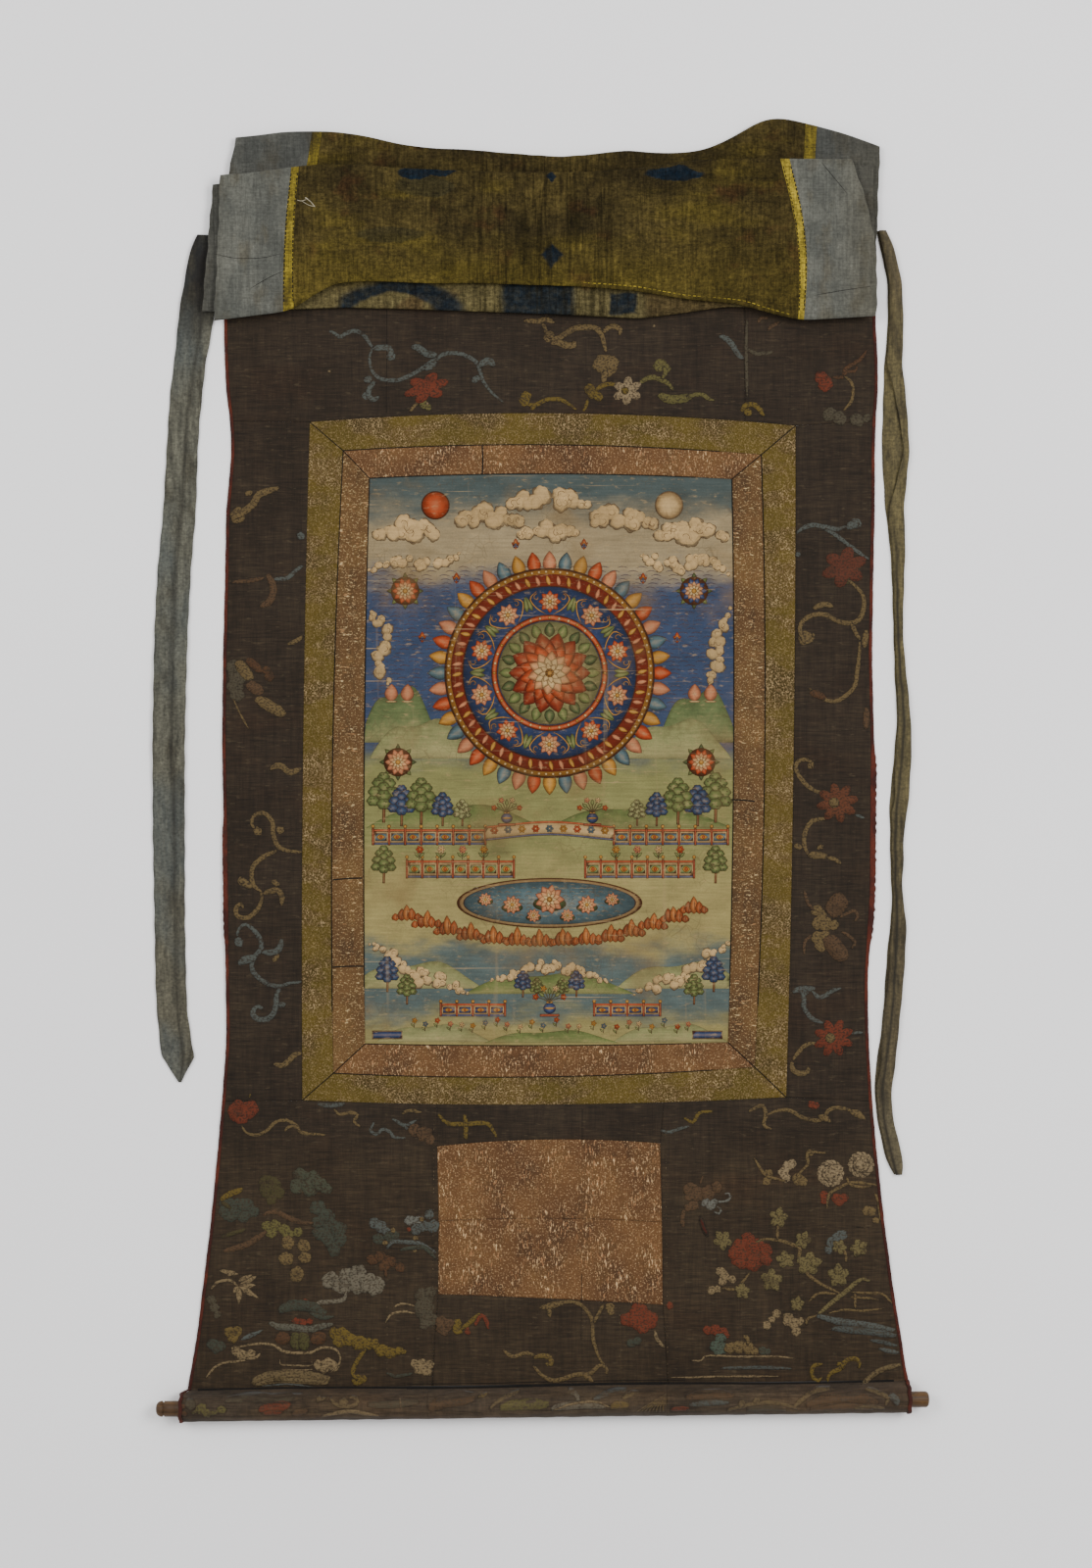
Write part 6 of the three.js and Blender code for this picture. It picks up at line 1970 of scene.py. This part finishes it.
def painting(name, below=None):
    """Painted figures on the canvas, stacked on top of those already laid below."""
    f = Figures(name, FIGURES, "canvas_paint", lift=0.06, thick=0.12, inside=canvas_edges)
    if below:
        f.stack = below.stack
    return f


def painted_sky():
    """Water, sun, moon, clouds and far hills."""
    random.seed(17)
    f = painting("painted_sky")
    ripples(f, -190, 212, 226, 62, 4.6, WAVE_BLUE, 13)
    for x, rim, tint in ((-118, UMBER, VERMILION), (144, ASH, OLD_CREAM)):
        f.disc((x, 296), 16, rim)
        f.disc((x, 296), 15, tint)
    for spot, wide, high, tint in (((10, 296), 92, 20, OLD_CREAM), ((-60, 276), 86, 17, OLD_IVORY),
                                   ((86, 274), 84, 18, OLD_IVORY), ((-146, 262), 78, 18, OLD_CREAM),
                                   ((168, 260), 80, 18, OLD_CREAM), ((10, 262), 70, 15, OLD_CREAM)):
        puff(f, spot, wide, high, tint)
    bank(f, [(-192, 222), (-160, 234), (-118, 228), (-92, 240)], 17, OLD_CREAM)
    bank(f, [(214, 220), (184, 234), (142, 226), (112, 240)], 17, OLD_CREAM)
    bank(f, [(-190, 176), (-176, 150), (-180, 118), (-170, 96)], 19, OLD_IVORY)
    bank(f, [(212, 178), (196, 150), (200, 120), (190, 96)], 19, OLD_IVORY)
    for spot, wide, high, tint in (((-158, 30), 90, 62, FAR_GREEN), ((178, 30), 92, 60, FAR_GREEN),
                                   ((-132, 12), 120, 44, SAGE), ((152, 12), 124, 44, SAGE)):
        hill(f, spot, wide, high, tint)
    # Rose buds on the far hills
    for x in (-168, -150, 172, 190):
        f.leaf((x, 76), (x + 1, 96), 15, ROSE)
        f.band([(x - 6, 76), (x + 7, 76)], 2.4, OLD_IVORY)
    f.finished()
    return f


def painted_wheel(below):
    """The wheel of petals, the gems round its upper side and the blossoms at its corners."""
    f = painting("painted_wheel", below)
    middle = (10, 108)
    for _, _, spot in round_the(middle, 148, 12, 0.26):
        if spot[1] > 70:
            flame_gem(f, spot, 7.5)
    wheel(f, middle)
    corners = (((-152, 200), VERMILION), ((172, 200), INDIGO), ((-160, 8), ROSE), ((180, 8), VERMILION))
    for spot, tint in corners:
        for k, _, tip in round_the(spot, 21, 8):
            f.leaf(spot, tip, 9, (MOSS, LEAF_GREEN)[k % 2])
        f.disc(spot, 16, UMBER)
        lotus(f, spot, 15, 10, tint)
    f.finished()
    return f


def painted_garden(below):
    """Garden walls, trees, jars, the pool and the ground under it."""
    f = painting("painted_garden", below)

    def hills(*shapes):
        for spot, wide, high, tint in shapes:
            hill(f, spot, wide, high, tint)

    def trees(*places):
        for x, y, high, pair in places:
            tree(f, (x, y), high, *pair)

    def walls(y, high, tint, *ends):
        for left, right in ends:
            lattice_wall(f, left, right, y, high, tint)

    hills(((-96, -66), 200, 26, LEAF_GREEN), ((112, -66), 204, 26, LEAF_GREEN))
    trees((-176, -60, 56, GREEN_TREE), (-156, -64, 46, BLUE_TREE), (-134, -62, 52, GREEN_TREE),
          (-110, -64, 38, BLUE_TREE), (196, -60, 56, GREEN_TREE), (176, -64, 46, BLUE_TREE),
          (154, -62, 52, GREEN_TREE), (130, -64, 38, BLUE_TREE), (-88, -64, 30, PALE_TREE),
          (108, -64, 30, PALE_TREE))
    walls(-76, 15, SEA, (-188, -62), (82, 210))
    # A low bridge between the walls, with blossoms along it
    for y, width, tint in ((-72, 15, OLD_IVORY), (-65, 2.2, VERMILION), (-79, 2.2, INDIGO)):
        f.band([(-62, y), (10, y + 6), (82, y)], width, tint, (1, 1), 30)
    for k in range(9):
        x = -52 + k * 15.5
        y = -69.5 + 3 * (1 - ((x - 10) / 72) ** 2)
        f.flower((x, y), 4.6, 6, (VERMILION, SEA, OCHRE)[k % 3], OLD_CREAM)
    vase(f, (-38, -62), 20, (VERMILION, OLD_CREAM, ROSE))
    vase(f, (58, -62), 20, (VERMILION, OLD_CREAM, ROSE))
    walls(-112, 17, WALL_GREEN, (-150, -30), (50, 172))
    for x, tint in ((-136, VERMILION), (-112, OLD_CREAM), (-88, ROSE), (-64, OCHRE), (84, OCHRE), (108, ROSE),
                    (132, OLD_CREAM), (156, VERMILION)):
        f.band([(x, -101), (x + 0.5, -92)], 1.0, MOSS, (1, 1))
        f.leaf((x, -99), (x - 6, -93), 3.4, LEAF_GREEN)
        f.leaf((x, -99), (x + 6, -93), 3.4, LEAF_GREEN)
        f.flower((x + 0.5, -90), 4.6, 6, tint, OCHRE)
    trees((-176, -128, 42, GREEN_TREE), (196, -128, 42, GREEN_TREE))
    # The pool with its lotuses, its russet banks and the clouds below it
    for spot in ((-150, -168), (-128, -176), (-104, -184), (-78, -190), (-52, -194), (-26, -196), (0, -197),
                 (26, -196), (52, -195), (78, -192), (102, -186), (126, -178), (150, -170), (172, -160)):
        crag(f, spot, 24, 19)
    for radius, squash, tint in ((104, 0.27, UMBER), (102, 0.265, OLD_IVORY), (97, 0.25, SEA)):
        f.disc((10, -150), radius, tint, squash=squash)
    ripples(f, -76, 96, -134, -168, 4.4, POOL_FOAM, 8)
    for x, y, size in ((10, -146, 17), (-32, -152, 11), (52, -152, 11), (-62, -146, 8), (80, -146, 8),
                       (-8, -164, 8), (30, -164, 8)):
        f.disc((x, y - size * 0.3), size * 1.1, MOSS, squash=0.45)
        lotus(f, (x, y), size, 9, ROSE)
    hills(((-140, -246), 150, 30, SAGE), ((160, -246), 150, 30, SAGE), ((10, -252), 190, 24, LEAF_GREEN))
    bank(f, [(-192, -196), (-166, -212), (-140, -232), (-108, -240), (-82, -252)], 17, OLD_CREAM)
    bank(f, [(214, -194), (190, -212), (164, -232), (132, -240), (104, -252)], 17, OLD_CREAM)
    bank(f, [(-56, -238), (-20, -228), (10, -222), (42, -228), (78, -238)], 14, OLD_CREAM)
    trees((-172, -250, 40, BLUE_TREE), (-150, -264, 34, GREEN_TREE), (194, -250, 40, BLUE_TREE),
          (172, -264, 34, GREEN_TREE), (-20, -256, 30, BLUE_TREE), (40, -256, 30, BLUE_TREE),
          (-4, -258, 24, GREEN_TREE), (24, -258, 24, GREEN_TREE))
    walls(-270, 12, INDIGO, (-112, -40), (60, 134))
    vase(f, (10, -276), 22, (VERMILION, OLD_CREAM, OCHRE))
    hills(((-120, -306), 130, 20, SAGE), ((146, -306), 130, 20, SAGE), ((12, -307), 150, 14, LEAF_GREEN))
    for k in range(30):
        x = -184 + k * 13.4 + random.uniform(-2, 2)
        if abs(x + 172) < 22 or abs(x - 188) < 22:
            continue
        y = -298 + random.uniform(0, 9)
        f.band([(x, y), (x + 0.6, y + 6)], 0.9, MOSS, (1, 1))
        f.leaf((x, y + 1), (x - 4, y + 5), 2.4, LEAF_GREEN)
        f.flower((x + 0.6, y + 8), 3.4, 5, (VERMILION, ROSE, OLD_CREAM, OCHRE, SEA)[k % 5], OCHRE)
    # Two bare plaques low in the corners
    for x in (-172, 187):
        f.bar(x - 17, x + 17, -298, 9.6, ASH)
        f.bar(x - 16, x + 16, -298, 7.6, INDIGO)
    f.finished()


painted_garden(painted_wheel(painted_sky()))
seams()
veil_stitches_and_crease_shade()


# ------- Light, surface and camera

def surface():
    """The pale paper the part lies on."""
    finish = Finish("pale_paper_surface", rough=0.95, specular=0.1)
    finish.ground(finish.noise(1.4).ramp(0.3, 0.7), "f7f5f6", "faf9f9")
    finish.speckle(0.01, 300, detail=2)
    mesh = grid_mesh("pale_surface", 2, 2, size=6)
    mesh.materials.append(finish.done())
    floor = in_scene("pale_surface", mesh)


def lamp(name, place, power):
    """A soft round light two metres wide, turned to the part's middle."""
    light = bpy.data.lights.new(name, "AREA")
    light.shape = "DISK"
    light.size = 2.0
    light.energy = power
    holder = in_scene(name, light)
    holder.location = place
    holder.rotation_euler = Vector([-p for p in place]).to_track_quat("-Z", "Y").to_euler()


def studio():
    world = bpy.data.worlds.new("studio")
    bpy.context.scene.world = world
    world.use_nodes = True
    sky = world.node_tree.nodes["Background"]
    sky.inputs["Color"].default_value = (1.0, 1.0, 1.0, 1)
    sky.inputs["Strength"].default_value = 0.82
    lamp("soft_light_right", (2.4, 0.9, 3.2), 116)
    lamp("soft_light_left", (-2.4, 1.1, 3.0), 64)
    camera = bpy.data.cameras.new("camera")
    camera.lens = 71.6
    camera.sensor_width = 36
    holder = in_scene("camera", camera)
    holder.location = (0.006, -0.0165, 3.5)
    bpy.context.scene.camera = holder


surface()
studio()
